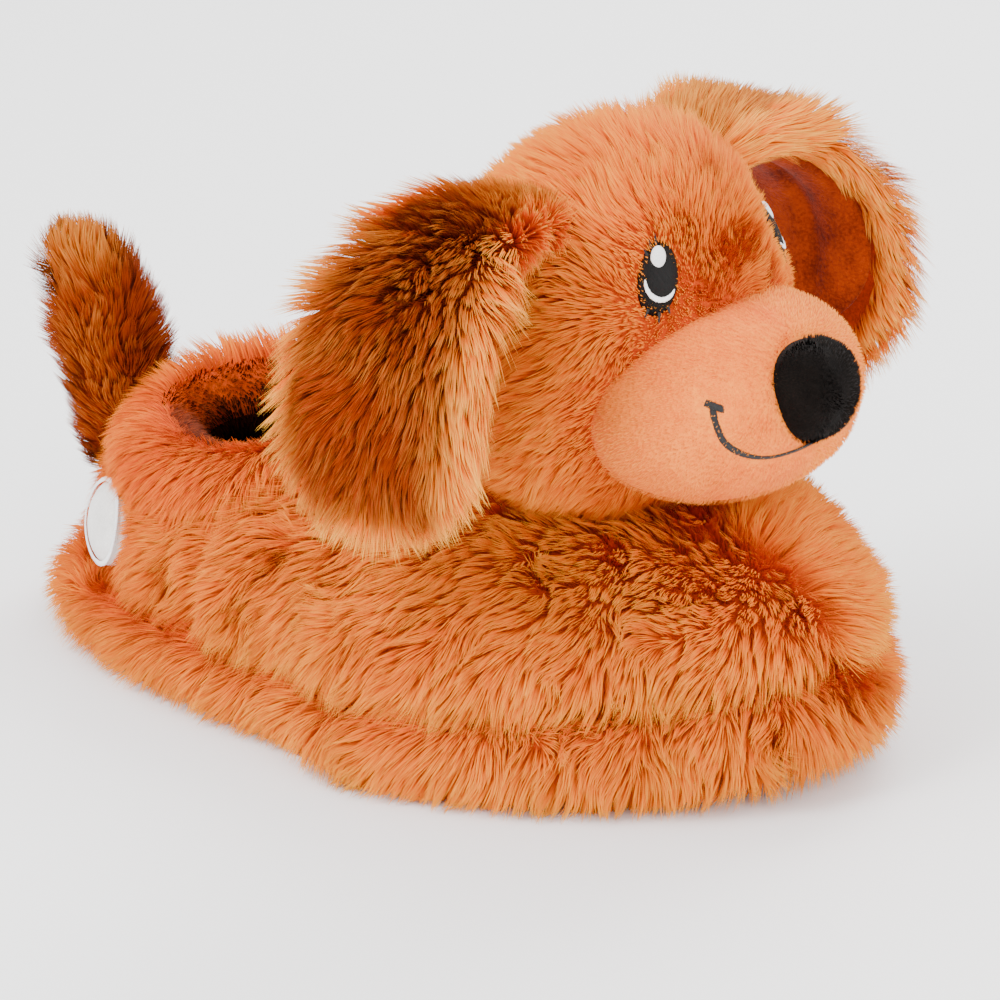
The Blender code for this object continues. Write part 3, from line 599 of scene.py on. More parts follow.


# %% [markdown]
# Long pile is darkest and reddest at the root, orange in the middle and nearly straw-coloured at the
# tips; the dark root is painted shade, for the root where no light comes in, and the pale tips are partly
# painted light. Two ramps run from root to tip, one for the darkest fibres and one for the lightest, and
# the fibre's tone, painted light and shade included, mixes them. Some light passes through the fibres.

# %% Pile colours


def pile_finish(name, dark, light, through=0.35):
    """dark and light are colours at root, middle and tip."""
    made = bpy.data.materials.new(name)
    made.use_nodes = True
    t = Tree(made.node_tree)
    shader = made.node_tree.nodes["Principled BSDF"]
    where = t.add("ShaderNodeUVMap", {"uv_map": "OFBake"})
    parts = t.add("ShaderNodeSeparateXYZ", None, Vector=where.outputs[0])
    ramps = []
    for colours in (dark, light):
        ramp = made.node_tree.nodes.new("ShaderNodeValToRGB")
        ramp.color_ramp.elements[0].position = 0.0
        ramp.color_ramp.elements[0].color = (*colours[0], 1.0)
        ramp.color_ramp.elements[1].position = 1.0
        ramp.color_ramp.elements[1].color = (*colours[2], 1.0)
        centre = ramp.color_ramp.elements.new(0.5)
        centre.color = (*colours[1], 1.0)
        t.put(ramp.inputs[0], parts.outputs[1])
        ramps.append(ramp.outputs[0])
    mix = made.node_tree.nodes.new("ShaderNodeMix")
    mix.data_type = 'RGBA'
    t.put(mix.inputs["Factor"], parts.outputs[0])
    t.put(mix.inputs[6], ramps[0])
    t.put(mix.inputs[7], ramps[1])
    t.put(shader.inputs["Base Color"], mix.outputs[2])
    shader.inputs["Roughness"].default_value = 0.75
    shader.inputs["Specular IOR Level"].default_value = 0.08
    glow = t.add("ShaderNodeBsdfTranslucent", None, Color=mix.outputs[2])
    both = made.node_tree.nodes.new("ShaderNodeMixShader")
    both.inputs[0].default_value = through
    t.put(both.inputs[1], shader.outputs[0])
    t.put(both.inputs[2], glow.outputs[0])
    output = made.node_tree.nodes["Material Output"]
    t.put(output.inputs["Surface"], both.outputs[0])
    return made


def tint(red, green, blue):
    """A screen colour of 0 to 255 as the light values that shaders use."""
    def light(value):
        value /= 255
        return value / 12.92 if value <= 0.04045 else ((value + 0.055) / 1.055) ** 2.4
    return light(red), light(green), light(blue)


BODY_PILE = pile_finish("body_pile", (tint(178, 46, 0), tint(220, 74, 0), tint(238, 98, 0)),
                        (tint(230, 88, 0), tint(254, 134, 4), tint(255, 196, 66)))
DEEP_PILE = pile_finish("ear_pile", (tint(74, 16, 0), tint(128, 34, 0), tint(172, 58, 0)),
                        (tint(194, 64, 0), tint(252, 128, 2), tint(255, 202, 84)))
# Painted shade: the pile on the inner wall of the opening is near black, for the deep shade inside the slipper.
MOUTH_PILE_WITH_PAINTED_SHADE = pile_finish("mouth_pile", (tint(8, 2, 0), tint(20, 5, 0), tint(34, 10, 1)),
                         (tint(70, 20, 0), tint(128, 42, 2), tint(176, 72, 10)), 0.1)
MUZZLE_PILE = pile_finish("muzzle_pile", (tint(214, 96, 18), tint(236, 122, 30), tint(246, 138, 40)),
                          (tint(236, 124, 32), tint(255, 156, 54), tint(255, 186, 92)), 0.2)
NOSE_PILE = pile_finish("nose_pile", (tint(3, 2, 1), tint(8, 5, 3), tint(16, 10, 7)),
                        (tint(8, 5, 3), tint(20, 13, 9), tint(44, 30, 22)), 0.0)
print("pile finishes:", BODY_PILE.name, DEEP_PILE.name)

# %% Backing cloth under the pile


def mottled(name, low, high, grain, bump, rough=0.85):
    """Short or knitted cloth: soft patches of two colours and a fine raised grain."""
    made = bpy.data.materials.new(name)
    made.use_nodes = True
    t = Tree(made.node_tree)
    shader = made.node_tree.nodes["Principled BSDF"]
    place = t.add("ShaderNodeTexCoord").outputs["Object"]
    broad = t.add("ShaderNodeTexNoise", None, Vector=place, Scale=110.0, Detail=4.0, Roughness=0.6)
    fine = t.add("ShaderNodeTexNoise", None, Vector=place, Scale=grain, Detail=4.0, Roughness=0.7)
    both = t.maths('ADD', t.maths('MULTIPLY', broad.outputs[0], 0.55),
                   t.maths('MULTIPLY', fine.outputs[0], 0.45))
    ramp = made.node_tree.nodes.new("ShaderNodeValToRGB")
    ramp.color_ramp.elements[0].position = 0.36
    ramp.color_ramp.elements[0].color = (*low, 1.0)
    ramp.color_ramp.elements[1].position = 0.64
    ramp.color_ramp.elements[1].color = (*high, 1.0)
    t.put(ramp.inputs[0], both)
    t.put(shader.inputs["Base Color"], ramp.outputs[0])
    shader.inputs["Roughness"].default_value = rough
    shader.inputs["Specular IOR Level"].default_value = 0.1
    relief = t.add("ShaderNodeBump", None, Height=fine.outputs[0], Strength=bump, Distance=0.0006)
    t.put(shader.inputs["Normal"], relief.outputs[0])
    return made


BACKING = mottled("pile_backing", tint(150, 42, 0), tint(206, 76, 4), 900.0, 0.6)
DEEP_BACKING = mottled("ear_backing", tint(112, 28, 0), tint(168, 52, 2), 900.0, 0.6)
# Painted shade: the lining's dark brown is made darker still for the shade inside the opening.
LINING_WITH_PAINTED_SHADE = mottled("shoe_lining_with_painted_shade", tint(40, 10, 2), tint(66, 20, 6), 700.0, 0.5)


def dress(name, mesh, finish, *nodes, slot=None):
    """A finished piece that stands for the solids it is given."""
    mesh.materials.clear()
    mesh.materials.append(finish)
    made = link(name, mesh)
    if nodes:
        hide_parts(*nodes)
    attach(made, "root")
    print(name, len(mesh.polygons), "faces")
    return made


# %% [markdown]
# The upper is a dome over the sole's plan. Its skin is lofted from sections like the last, the mouth
# is left open under the collar, and a wall of real thickness gives it the lining that shows inside.

# %% Upper
COLUMNS = 46
DENSITY = 3.8e6


def section_point(u, angle, right, left, right_normal, left_normal):
    power = 2 / along(CREST, 2, u)
    across = signed_power(math.cos(angle), power)
    start = lip(u) + SEAT
    z = start + (crest(u) - start) * max(math.sin(angle), 0.0) ** power
    plan = (right + left) / 2 + (right - left) / 2 * across
    plan = plan + (right_normal * (1 + across) + left_normal * (1 - across)) / 2 * swell(z, u)
    return Vector((plan.x, plan.y, z))


def in_mouth(point, grow_by=0.0):
    """True inside the middle line of the cuff, seen from above."""
    return (((point.x - COLLAR_X) / (COLLAR_LENGTH / 2 + grow_by)) ** 2
            + (point.y / (COLLAR_SPAN / 2 + grow_by)) ** 2) < 1


def upper_skin():
    bm = bmesh.new()
    plan = outline_loop(LIP_THICK + SEAT)
    normals = loop_normals(plan)
    count = len(plan)
    base = [bm.verts.new((p.x, p.y, FOOTBED + rise(u) + 0.0003)) for p, u in zip(plan, LOOP_PLACES)]
    edge = [bm.verts.new((p.x, p.y, lip(u) + SEAT)) for p, u in zip(plan, LOOP_PLACES)]
    for i in range(count):
        j = (i + 1) % count
        bm.faces.new((base[i], base[j], edge[j], edge[i]))
    rows = [[edge[0]] * (COLUMNS + 1)]
    for i in range(1, LAST):
        inner = [bm.verts.new(section_point(PLACES[i], math.pi * j / COLUMNS, plan[i], plan[count - i],
                                            normals[i], normals[count - i])) for j in range(1, COLUMNS)]
        rows.append([edge[i]] + inner + [edge[count - i]])
    rows.append([edge[LAST]] * (COLUMNS + 1))
    for first, second in zip(rows, rows[1:]):
        for j in range(COLUMNS):
            corners = [first[j], second[j], second[j + 1], first[j + 1]]
            centre = sum((v.co for v in corners), Vector()) / 4
            if not in_mouth(centre):
                bm.faces.new([v for k, v in enumerate(corners) if v not in corners[:k]])
    loose = [v for v in bm.verts if not v.link_faces]
    bmesh.ops.delete(bm, geom=loose, context='VERTS')
    mesh = mesh_from("upper_skin", bm)
    highest = max(mesh.polygons, key=lambda face: face.center.z)
    if highest.normal.z < 0:
        mesh.flip_normals()
    return mesh


def upper_pile(point, normal):
    u = point.x / HALF
    vamp = ease((u - VAMP_EDGE + 0.05) / 0.10)
    over = point.z - lip(u)
    low = ease(1 - (over - 0.004) / 0.014)
    way = Vector((-0.15, math.copysign(0.20, point.y), -0.32))
    fold = ease(1 - abs(u - VAMP_EDGE + 0.03) / 0.055)
    groove = ease(1 - over / 0.004)
    patch = math.hypot((u - PATCH_PLACE) * HALF / PATCH_WIDTH, (point.z - PATCH_HEIGHT) / PATCH_TALL) * 2
    beside_patch = ease((patch - 0.95) / 0.5) if point.y < 0 else 1.0
    reach_here = (0.0062 + 0.0016 * vamp + 0.0010 * low) * (1 - 0.55 * fold) * (1 - 0.35 * groove)
    reach_here *= 0.45 + 0.55 * beside_patch
    under_head = depth_in(point, HEAD_CENTRE, HEAD_SIZE)
    hidden = under_head < 1.0 or in_mouth(point, 0.004) or point.z < lip(u) or beside_patch == 0
    # Painted light: under the head, where the head casts shade, the pile is painted lighter.
    shade = ease(1 - (under_head - 1.0) / 0.9)
    # Painted shade: the pile is painted darker in the crease at the vamp's edge (fold) and in the groove at the lip
    # (groove).
    tone = 0.50 + 0.22 * low * vamp + 0.34 * shade - 0.32 * fold - 0.40 * groove - 0.06 * (1 - vamp)
    return way, reach_here * (0.65 if under_head < 1.12 else 1.0), tone, 0.0 if hidden else 1.0


skin = upper_skin()
write_pile(skin, upper_pile)
REGIONS = {"quarter": lambda p: p.x < VAMP_EDGE * HALF,
           "vamp_right": lambda p: p.x >= VAMP_EDGE * HALF and p.y < 0,
           "vamp_left": lambda p: p.x >= VAMP_EDGE * HALF and p.y >= 0}
for region, inside in REGIONS.items():
    grow(region + "_pile", part_of(skin, inside), BODY_PILE, "upper", **{"Blades per Square Metre": DENSITY})
upper_cloth = dress("upper_cloth", skin, BACKING, "upper", slot="upper")
# The wall's inner face takes the lining, with its painted shade.
upper_cloth.data.materials.append(LINING_WITH_PAINTED_SHADE)
wall = upper_cloth.modifiers.new("wall", 'SOLIDIFY')
wall.thickness = UPPER_WALL * 0.85
wall.offset = -1.0
wall.material_offset = 1

# %% [markdown]
# The sole band is a soft tray of the same fur. Its lip climbs round the upper, low at the heel and
# high at the toe, and the seam between the two is a groove that the pile half covers.

# %% Sole band


def band_skin():
    base = FOOTBED - 0.007
    levels = ((LIP_THICK, 0.0), (LIP_THICK * 0.45, 0.06), (LIP_THICK * 0.12, 0.24), (0.0, 0.42),
              (0.0, 0.60), (LIP_THICK * 0.06, 0.76), (LIP_THICK * 0.22, 0.92), (LIP_THICK * 0.5, 1.0),
              (LIP_THICK * 0.85, 0.99), (LIP_THICK, 0.94))
    loops = []
    for inset, share in levels:
        loops.append([Vector((p.x, p.y, base + rise(u) + (lip(u) - base - rise(u)) * share))
                      for p, u in zip(outline_loop(inset), LOOP_PLACES)])
    loops.append([Vector((p.x, p.y, FOOTBED + rise(u)))
                  for p, u in zip(outline_loop(LIP_THICK), LOOP_PLACES)])
    bm = loft(loops, caps=False)
    rings = len(loops[0])
    bm.verts.ensure_lookup_table()
    for first in (0, len(loops) - 1):
        row = bm.verts[first * rings:(first + 1) * rings]
        for i in range(1, LAST):
            bm.faces.new((row[i], row[i + 1], row[rings - i - 1], row[rings - i])
                         if i + 1 < LAST else (row[i], row[i + 1], row[rings - i]))
        bm.faces.new((row[0], row[1], row[rings - 1]))
    return mesh_from("band_skin", bm)


def band_pile(point, normal):
    u = point.x / HALF
    side = normal.xy.length
    low = ease(1 - (point.z - rise(u) - 0.003) / 0.010)
    outside = outer_side(point, LIP_THICK * 0.9)
    shown = outside and (side > 0.15 or normal.z > 0)
    way = Vector((-0.10, 0.0, -0.20 - 0.25 * low)) + Vector((normal.x, normal.y, 0)) * 0.3
    groove = ease(1 - (lip(u) - point.z) / 0.0025)
    # Painted shade: the pile is painted darker in the groove under the lip.
    return way, (0.0084 + 0.0018 * low) * (1 - 0.4 * groove), 0.58 + 0.30 * low - 0.38 * groove, \
        1.0 if shown else 0.0


def outer_side(point, depth):
    u = min(max(point.x / HALF, -0.999), 0.999)
    return abs(point.y - middle(u)) > half_width(u) - depth or abs(point.x) > HALF - depth


skin = band_skin()
write_pile(skin, band_pile)
for region, inside in (("heel", lambda p: p.x < 0.0), ("toe", lambda p: p.x >= 0.0)):
    grow("band_pile_" + region, part_of(skin, inside), BODY_PILE, "platform",
         **{"Blades per Square Metre": DENSITY})
band_cloth = dress("band_cloth", skin, BACKING, "platform", slot="platform")

# %% [markdown]
# The collar is a padded tube of fur sewn round the opening. It stands higher at the instep, where the
# head sits. The fur on its inner side is short, or the foot would not go in.

# %% Collar
CUFF_STEPS = 96
CUFF_SIDES = 28


def collar_line(angle):
    climb = COLLAR_CLIMB * ease((math.cos(angle) + 0.35) / 1.35)
    tilt = COLLAR_TILT * (1 + math.sin(angle)) / 2
    return Vector((COLLAR_X + COLLAR_LENGTH / 2 * math.cos(angle), COLLAR_SPAN / 2 * math.sin(angle),
                   COLLAR_HEIGHT + climb + tilt))


def collar_skin():
    loops = []
    for i in range(CUFF_STEPS):
        angle = 2 * math.pi * i / CUFF_STEPS
        outward = Vector((math.cos(angle) * COLLAR_SPAN, math.sin(angle) * COLLAR_LENGTH, 0)).normalized()
        turns = [2 * math.pi * k / CUFF_SIDES for k in range(CUFF_SIDES)]
        loops.append([collar_line(angle) + outward * CUFF_WIDTH / 2 * math.cos(turn)
                      + Vector((0, 0, CUFF_DEPTH / 2 * math.sin(turn))) for turn in turns])
    return mesh_from("collar_skin", loft(loops, closed_ring=True))


def collar_pile(point, normal):
    centre = Vector((COLLAR_X, 0.0, point.z))
    away = (point - centre).normalized()
    outside = normal.dot(away)
    way = away * (0.5 if outside > -0.2 else -0.1) + Vector((0, 0, -0.35))
    inner = ease(0.5 - outside)
    near, far = ease(-point.y / 0.012), ease(point.y / 0.012)
    way += away * 0.5 * near * ease(normal.z) + Vector((0, 0, 0.25 * far))
    reach_here = 0.0066 - 0.0030 * inner + far * (0.0024 + 0.0010 * ease(normal.z)) - 0.0012 * near * ease(normal.z)
    hidden = depth_in(point, HEAD_CENTRE, HEAD_SIZE) < 1.0 or normal.z < -0.75 or outside < -0.12
    # Painted shade: the fur on the collar's inner side is painted darker.
    return way, reach_here, 0.36 - 0.24 * inner + 0.12 * far, 0.0 if hidden else 1.0


def mouth_pile(point, normal):
    away = (point - Vector((COLLAR_X, 0.0, point.z))).normalized()
    outside = normal.dot(away)
    way = away * -0.1 + Vector((0, 0, -0.5))
    hidden = depth_in(point, HEAD_CENTRE, HEAD_SIZE) < 1.0 or normal.z < -0.6 or outside > -0.05
    # Painted light: fibres that face up, at the top of the inner wall, are painted lighter.
    return way, 0.0026, 0.8 * ease((normal.z - 0.2) / 0.8), 0.0 if hidden else 1.0


skin = collar_skin()
mouth_skin = skin.copy()
write_pile(mouth_skin, mouth_pile)
grow("mouth_pile", mouth_skin, MOUTH_PILE_WITH_PAINTED_SHADE, "collar", **{"Blades per Square Metre": 2.0e6})
write_pile(skin, collar_pile)
grow("collar_pile", skin.copy(), BODY_PILE, "collar", **{"Blades per Square Metre": DENSITY})
collar_cloth = dress("collar_cloth", skin, BACKING, "collar", slot="collar")
collar_cloth.data.materials.append(LINING_WITH_PAINTED_SHADE)
# Faces on the collar's inner side take the lining, with its painted shade.
for face in collar_cloth.data.polygons:
    away = Vector((face.center.x - COLLAR_X, face.center.y, 0.0))
    if face.normal.z < 0.10 and face.normal.dot(away) < 0:
        face.material_index = 1

# %% [markdown]
# The head is a stuffed ball with full cheeks and a flatter brow. Its fur is shorter round the eyes
# and along the muzzle, as the maker shears it there so that the face stays clear.

# %% Head


def head_shape(unit):
    cheek = 1 + 0.14 * max(-unit.z, 0.0) - 0.06 * max(unit.z, 0.0)
    brow = 1 - 0.10 * max(unit.x, 0.0) * max(unit.z, 0.0)
    return Vector((unit.x * brow, unit.y * cheek, unit.z))


def lifted(surface, a, b, lift):
    """Point of a two-way surface moved along its normal."""
    step = 0.0005
    across = surface(a + step, b) - surface(a - step, b)
    upward = surface(a, b + step) - surface(a, b - step)
    return surface(a, b) + across.cross(upward).normalized() * lift


# Hand-sewn eyes are never quite level: each sits this far round the head from its place, in radians
EYE_SHIFT = {-1: -0.035, 1: 0.100}


def eye_surface(side):
    """The brow beside the muzzle, with a to the ear and b upward; the oval leans a little."""
    lean = math.radians(-17.0)

    def plain(a, b):
        a, b = a * math.cos(lean) + b * math.sin(lean), b * math.cos(lean) - a * math.sin(lean)
        lon = EYE_TURN + EYE_SHIFT[side] + a * 2 / HEAD_SIZE[1]
        lat = EYE_LIFT + 0.025 + b * 2 / HEAD_SIZE[2]
        return on_ellipsoid(HEAD_CENTRE, HEAD_SIZE, lon, lat, head_shape)

    def surface(a, b, lift):
        point = lifted(plain, a, b, lift)
        return Vector((point.x, point.y * side, point.z))
    return surface


EYE_SPOTS = {side: eye_surface(side)(0.0, 0.0, 0.0) for side in (1, -1)}


def head_pile(point, normal):
    side = 1 if point.y > 0 else -1
    from_eye = (point - EYE_SPOTS[side]).length
    to_muzzle = depth_in(point, MUZZLE_CENTRE, MUZZLE_SIZE)
    face = ease((point.x - HEAD_CENTRE.x) / 0.030)
    crown = ease((point.z - HEAD_CENTRE.z - 0.010) / 0.030)
    away = (point - MUZZLE_CENTRE - Vector((0.01, 0.0, 0.0))).normalized()
    way = away * 0.55 + Vector((0.0, 0.0, -0.30 * (1 - crown)))
    reach_here = 0.0068 + 0.0012 * crown - 0.0022 * face
    reach_here *= 0.42 + 0.58 * ease((from_eye - 0.007) / 0.008)
    reach_here *= 0.45 + 0.55 * ease((to_muzzle - 1.0) / 0.30)
    under = point.z < crest(min(point.x / HALF, 0.98)) - 0.001
    hidden = to_muzzle < 1.0 or under or from_eye < 0.0040
    # Painted light and shade: the crown is painted lighter, as lit from above, and a ring round the muzzle darker,
    # for the shade in the crease where it is sewn on.
    tone = 0.52 + 0.10 * crown - 0.22 * ease(1 - abs(to_muzzle - 1.12) / 0.10)
    return way, reach_here, tone, 0.0 if hidden else 1.0


skin = mesh_from("head_skin", rounded(HEAD_CENTRE, HEAD_SIZE, 84, 48, head_shape))
write_pile(skin, head_pile)
for region, inside in (("right", lambda p: p.y < 0), ("left", lambda p: p.y >= 0)):
    grow("head_pile_" + region, part_of(skin, inside), BODY_PILE, "head",
         **{"Blades per Square Metre": DENSITY * 1.1})
head_cloth = dress("head_cloth", skin, BACKING, "head", slot="head")

# %% [markdown]
# The muzzle is a pad of velour, a knit with a dense pile so short that it looks like peach skin. It
# stays a plain surface with soft mottling, a fine nap and a light sheen at the edges.

# %% Muzzle and nose


def velour(name, low, high, sheen, rough=0.9, grain=1500.0):
    made = mottled(name, low, high, grain, 0.55, rough)
    shader = made.node_tree.nodes["Principled BSDF"]
    shader.inputs["Sheen Weight"].default_value = sheen
    shader.inputs["Sheen Roughness"].default_value = 0.45
    return made


MUZZLE_VELOUR = velour("muzzle_velour", tint(226, 100, 20), tint(250, 142, 44), 0.05)
NOSE_VELOUR = velour("nose_velour", tint(4, 2, 1), tint(18, 11, 8), 0.03)


def muzzle_shape(unit):
    return Vector((unit.x, unit.y * (1 - 0.10 * max(unit.z, 0.0) - 0.08 * max(unit.x, 0.0)), unit.z))


def nose_shape(unit):
    """A little broader at the top, like a rounded triangle."""
    return Vector((unit.x, unit.y * (1 + 0.10 * unit.z), unit.z))


def muzzle_point(lon, lat, lift=0.0):
    def plain(a, b):
        return on_ellipsoid(MUZZLE_CENTRE, MUZZLE_SIZE, a, b, muzzle_shape, 2.2)
    return lifted(plain, lon, lat, lift)


def sewn_muzzle():
    """The muzzle sinks a little along the smile and round the edge of the nose."""
    mesh = mesh_from("muzzle", rounded(MUZZLE_CENTRE, MUZZLE_SIZE, 120, 80, muzzle_shape, 2.2))
    smile = [muzzle_point(math.radians(lon), math.radians(lat))
             for side in (-1, 1) for lon, lat in smooth_path([(p[0] * side, p[1]) for p in SMILE], 60)]
    smile = np.array([tuple(p) for p in smile])
    for vert in mesh.vertices:
        away = np.linalg.norm(smile - np.array(tuple(vert.co)), axis=1).min()
        dent = 0.0010 * math.exp(-(away / 0.0022) ** 2)
        around_nose = abs(depth_in(vert.co, NOSE_CENTRE, NOSE_SIZE) - 1.0)
        dent += 0.0008 * math.exp(-(around_nose / 0.18) ** 2)
        vert.co -= vert.normal * dent
    return mesh


def smooth_path(points, count):
    """Points of one smooth curve through a few given ones."""
    table = [(i, *p) for i, p in enumerate(points)]
    places = [(len(points) - 1) * i / count for i in range(count + 1)]
    return [tuple(along(table, column, place) for column in range(1, len(points[0]) + 1))
            for place in places]


# The smile in degrees round and up the muzzle, from the middle to its outer end
SMILE = ((0.0, -15.0), (12.0, -16.5), (26.0, -16.0), (37.0, -11.5), (46.0, -3.5), (51.0, 6.0),
         (53.5, 15.0))
SMILE_TICK = ((45.0, 12.5), (51.0, 15.0), (57.0, 18.0))

muzzle = dress("muzzle_pad", sewn_muzzle(), MUZZLE_VELOUR, "muzzle", slot="muzzle")
nose_mesh = mesh_from("nose", rounded(NOSE_CENTRE, NOSE_SIZE, 64, 40, nose_shape, 2.15))
nose = dress("nose_pad", nose_mesh, NOSE_VELOUR, "nose", slot="nose")


def muzzle_pile(point, normal):
    away = min((point - spot).length for spot in SMILE_SPOTS)
    hidden = point.x < 0.066 or depth_in(point, NOSE_CENTRE, NOSE_SIZE) < 1.03 or away < 0.0011
    hidden = hidden or depth_in(point, HEAD_CENTRE, HEAD_SIZE) < 0.98
    way = Vector((-0.5, math.copysign(0.25, point.y), -0.3))
    return way, 0.0014 - 0.0005 * ease(1 - (away - 0.001) / 0.002), 0.5, 0.0 if hidden else 1.0


def nose_pile(point, normal):
    hidden = point.x < NOSE_CENTRE.x - 0.001
    return (point - NOSE_CENTRE) * 40, 0.0011, 0.4, 0.0 if hidden else 1.0


SMILE_SPOTS = [muzzle_point(math.radians(lon * side), math.radians(lat)) for side in (-1, 1)
               for lon, lat in smooth_path(SMILE, 50) + smooth_path(SMILE_TICK, 12)]
skin = muzzle.data.copy()
write_pile(skin, muzzle_pile)
grow("muzzle_pile", skin, MUZZLE_PILE, "muzzle",
     **{"Blades per Square Metre": 2.1e6, "Clump Pull": 20.0, "Ruffle": 0.35, "Width": 0.6})
skin = nose.data.copy()
write_pile(skin, nose_pile)
grow("nose_pile", skin, NOSE_PILE, "nose",
     **{"Blades per Square Metre": 4.0e6, "Clump Pull": 10.0, "Ruffle": 0.5, "Width": 0.6})

# %% [markdown]
# Smile, lashes and the rim of the heel patch are satin stitch: short threads laid side by side across
# a line. A second tree repeats one stitch along a path, turned to the path and to the cloth under it.

# %% Satin stitch


def make_stitch():
    """One thread of unit length across X, half round above the cloth."""
    bm = bmesh.new()
    rows = []
    for x, scale in ((-0.5, 0.2), (-0.42, 0.8), (0.0, 1.0), (0.42, 0.8), (0.5, 0.2)):
        rows.append([bm.verts.new((x, 0.5 * scale * math.cos(t), 0.5 * scale * math.sin(t) - 0.1))
                     for t in (math.pi * k / 4 for k in range(8))])
    for low, high in zip(rows, rows[1:]):
        for k in range(8):
            bm.faces.new((low[k], low[(k + 1) % 8], high[(k + 1) % 8], high[k]))
    bm.faces.new(rows[0][::-1])
    bm.faces.new(rows[-1])
    mesh = mesh_from("stitch", bm)
    return bpy.data.objects.new("stitch", mesh)


def make_stitch_tree():
    group = bpy.data.node_groups.new("satin_row", 'GeometryNodeTree')
    for name, kind, value in (("Geometry", 'NodeSocketGeometry', None), ("Stitch", 'NodeSocketObject', None),
                              ("Pitch", 'NodeSocketFloat', 0.0003), ("Thread", 'NodeSocketFloat', 0.0004),
                              ("Finish", 'NodeSocketMaterial', None)):
        socket = group.interface.new_socket(name, in_out='INPUT', socket_type=kind)
        if value is not None:
            socket.default_value = value
    group.interface.new_socket("Geometry", in_out='OUTPUT', socket_type='NodeSocketGeometry')
    t = Tree(group)
    given = group.nodes.new("NodeGroupInput").outputs
    line = t.add("GeometryNodeMeshToCurve", None, Mesh=given["Geometry"])
    even = t.add("GeometryNodeResampleCurve", {"mode": 'LENGTH'}, Curve=line.outputs[0],
                 Length=given["Pitch"])
    tangent = group.nodes.new("GeometryNodeInputTangent").outputs[0]
    turn = t.add("FunctionNodeAxesToRotation", {"primary_axis": 'Z', "secondary_axis": 'Y'},
                 Primary_Axis=t.named("up", 'FLOAT_VECTOR'), Secondary_Axis=tangent)
    size = t.add("ShaderNodeCombineXYZ", None,
                 X=t.maths('MULTIPLY', t.named("wide"), t.chance(0.88, 1.10, 2)),
                 Y=given["Thread"], Z=given["Thread"])
    source = t.add("GeometryNodeObjectInfo", {"transform_space": 'ORIGINAL'}, Object=given["Stitch"])
    laid = t.add("GeometryNodeInstanceOnPoints", None, Points=even.outputs[0],
                 Instance=source.outputs["Geometry"], Rotation=turn.outputs[0], Scale=size.outputs[0])
    real = t.add("GeometryNodeRealizeInstances", None, Geometry=laid.outputs[0])
    done = t.add("GeometryNodeSetMaterial", None, Geometry=real.outputs[0], Material=given["Finish"])
    group.links.new(done.outputs[0], group.nodes.new("NodeGroupOutput").inputs[0])
    return group


stitch = make_stitch()
stitch_tree = make_stitch_tree()


def path_mesh(name, rows, closed=False):
    """A line of points with the cloth's normal and the stitch's width on each."""
    mesh = bpy.data.meshes.new(name)
    edges = [(i, i + 1) for i in range(len(rows) - 1)] + ([(len(rows) - 1, 0)] if closed else [])
    mesh.from_pydata([row[0] for row in rows], edges, [])
    mesh.attributes.new("up", 'FLOAT_VECTOR', 'POINT').data.foreach_set(
        "vector", [value for row in rows for value in row[1]])
    mesh.attributes.new("wide", 'FLOAT', 'POINT').data.foreach_set("value", [row[2] for row in rows])
    return mesh


def sew(name, path, finish, pitch=0.0003, thread=0.00042):
    made = through_tree(name, path, stitch_tree, {"Stitch": stitch, "Pitch": pitch, "Thread": thread,
                                                  "Finish": finish}, ("up", "wide"))
    made.data.shade_smooth()
    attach(made, "root")
    print(name, len(made.data.polygons), "faces")
    return made


def thread_finish(name, colour, rough):
    made = bpy.data.materials.new(name)
    made.use_nodes = True
    t = Tree(made.node_tree)
    shader = made.node_tree.nodes["Principled BSDF"]
    place = t.add("ShaderNodeTexCoord").outputs["Object"]
    grain = t.add("ShaderNodeTexNoise", None, Vector=place, Scale=2200.0, Detail=2.0)
    ramp = made.node_tree.nodes.new("ShaderNodeValToRGB")
    ramp.color_ramp.elements[0].color = (*(c * 0.72 for c in colour), 1.0)
    ramp.color_ramp.elements[1].color = (*(min(c * 1.15, 1.0) for c in colour), 1.0)
    t.put(ramp.inputs[0], grain.outputs[0])
    t.put(shader.inputs["Base Color"], ramp.outputs[0])
    shader.inputs["Roughness"].default_value = rough
    shader.inputs["Sheen Weight"].default_value = 0.1
    return made


BLACK_THREAD = thread_finish("black_thread", tint(8, 6, 6), 0.7)
WHITE_THREAD = thread_finish("white_thread", tint(252, 250, 248), 0.5)

for side, word in ((-1, "right"), (1, "left")):
    rows = []
    for i, (lon, lat) in enumerate(smooth_path(SMILE, 80)):
        lon, lat = math.radians(lon * side), math.radians(lat)
        point = muzzle_point(lon, lat, -0.0007)
        up = (muzzle_point(lon, lat, 0.001) - muzzle_point(lon, lat)).normalized()
        rows.append((point, up, 0.0007 + 0.0007 * ease((i - 22) / 30)))
    sew("smile_" + word, path_mesh("smile_path", rows), BLACK_THREAD)
    rows = []
    for lon, lat in smooth_path(SMILE_TICK, 20):
        lon, lat = math.radians(lon * side), math.radians(lat)
        up = (muzzle_point(lon, lat, 0.001) - muzzle_point(lon, lat)).normalized()
        rows.append((muzzle_point(lon, lat, -0.0005), up, 0.0016))
    sew("smile_tick_" + word, path_mesh("tick_path", rows), BLACK_THREAD)
rows = []
for i in range(21):
    lat = math.radians(-8.0 - 7.5 * i / 20)
    up = (muzzle_point(0.0, lat, 0.001) - muzzle_point(0.0, lat)).normalized()
    rows.append((muzzle_point(0.0, lat, -0.0007), up, 0.0009))
sew("lip_line", path_mesh("lip_path", rows), BLACK_THREAD)

# %% [markdown]
# Each eye is a padded oval of black satin stitch with a white glint and a thin white crescent. Rows
# of thread run up and down the oval; they are a fine wave on the oval's own UV map.

# %% Eyes
EYE_RISE = 0.0026
EYE_SINK = 0.0006


def dome(share):
    """Height of a padded oval over the cloth at a share of its half size."""
    return EYE_RISE * math.sqrt(max(1 - share ** (2 / 0.55), 0.0)) - EYE_SINK




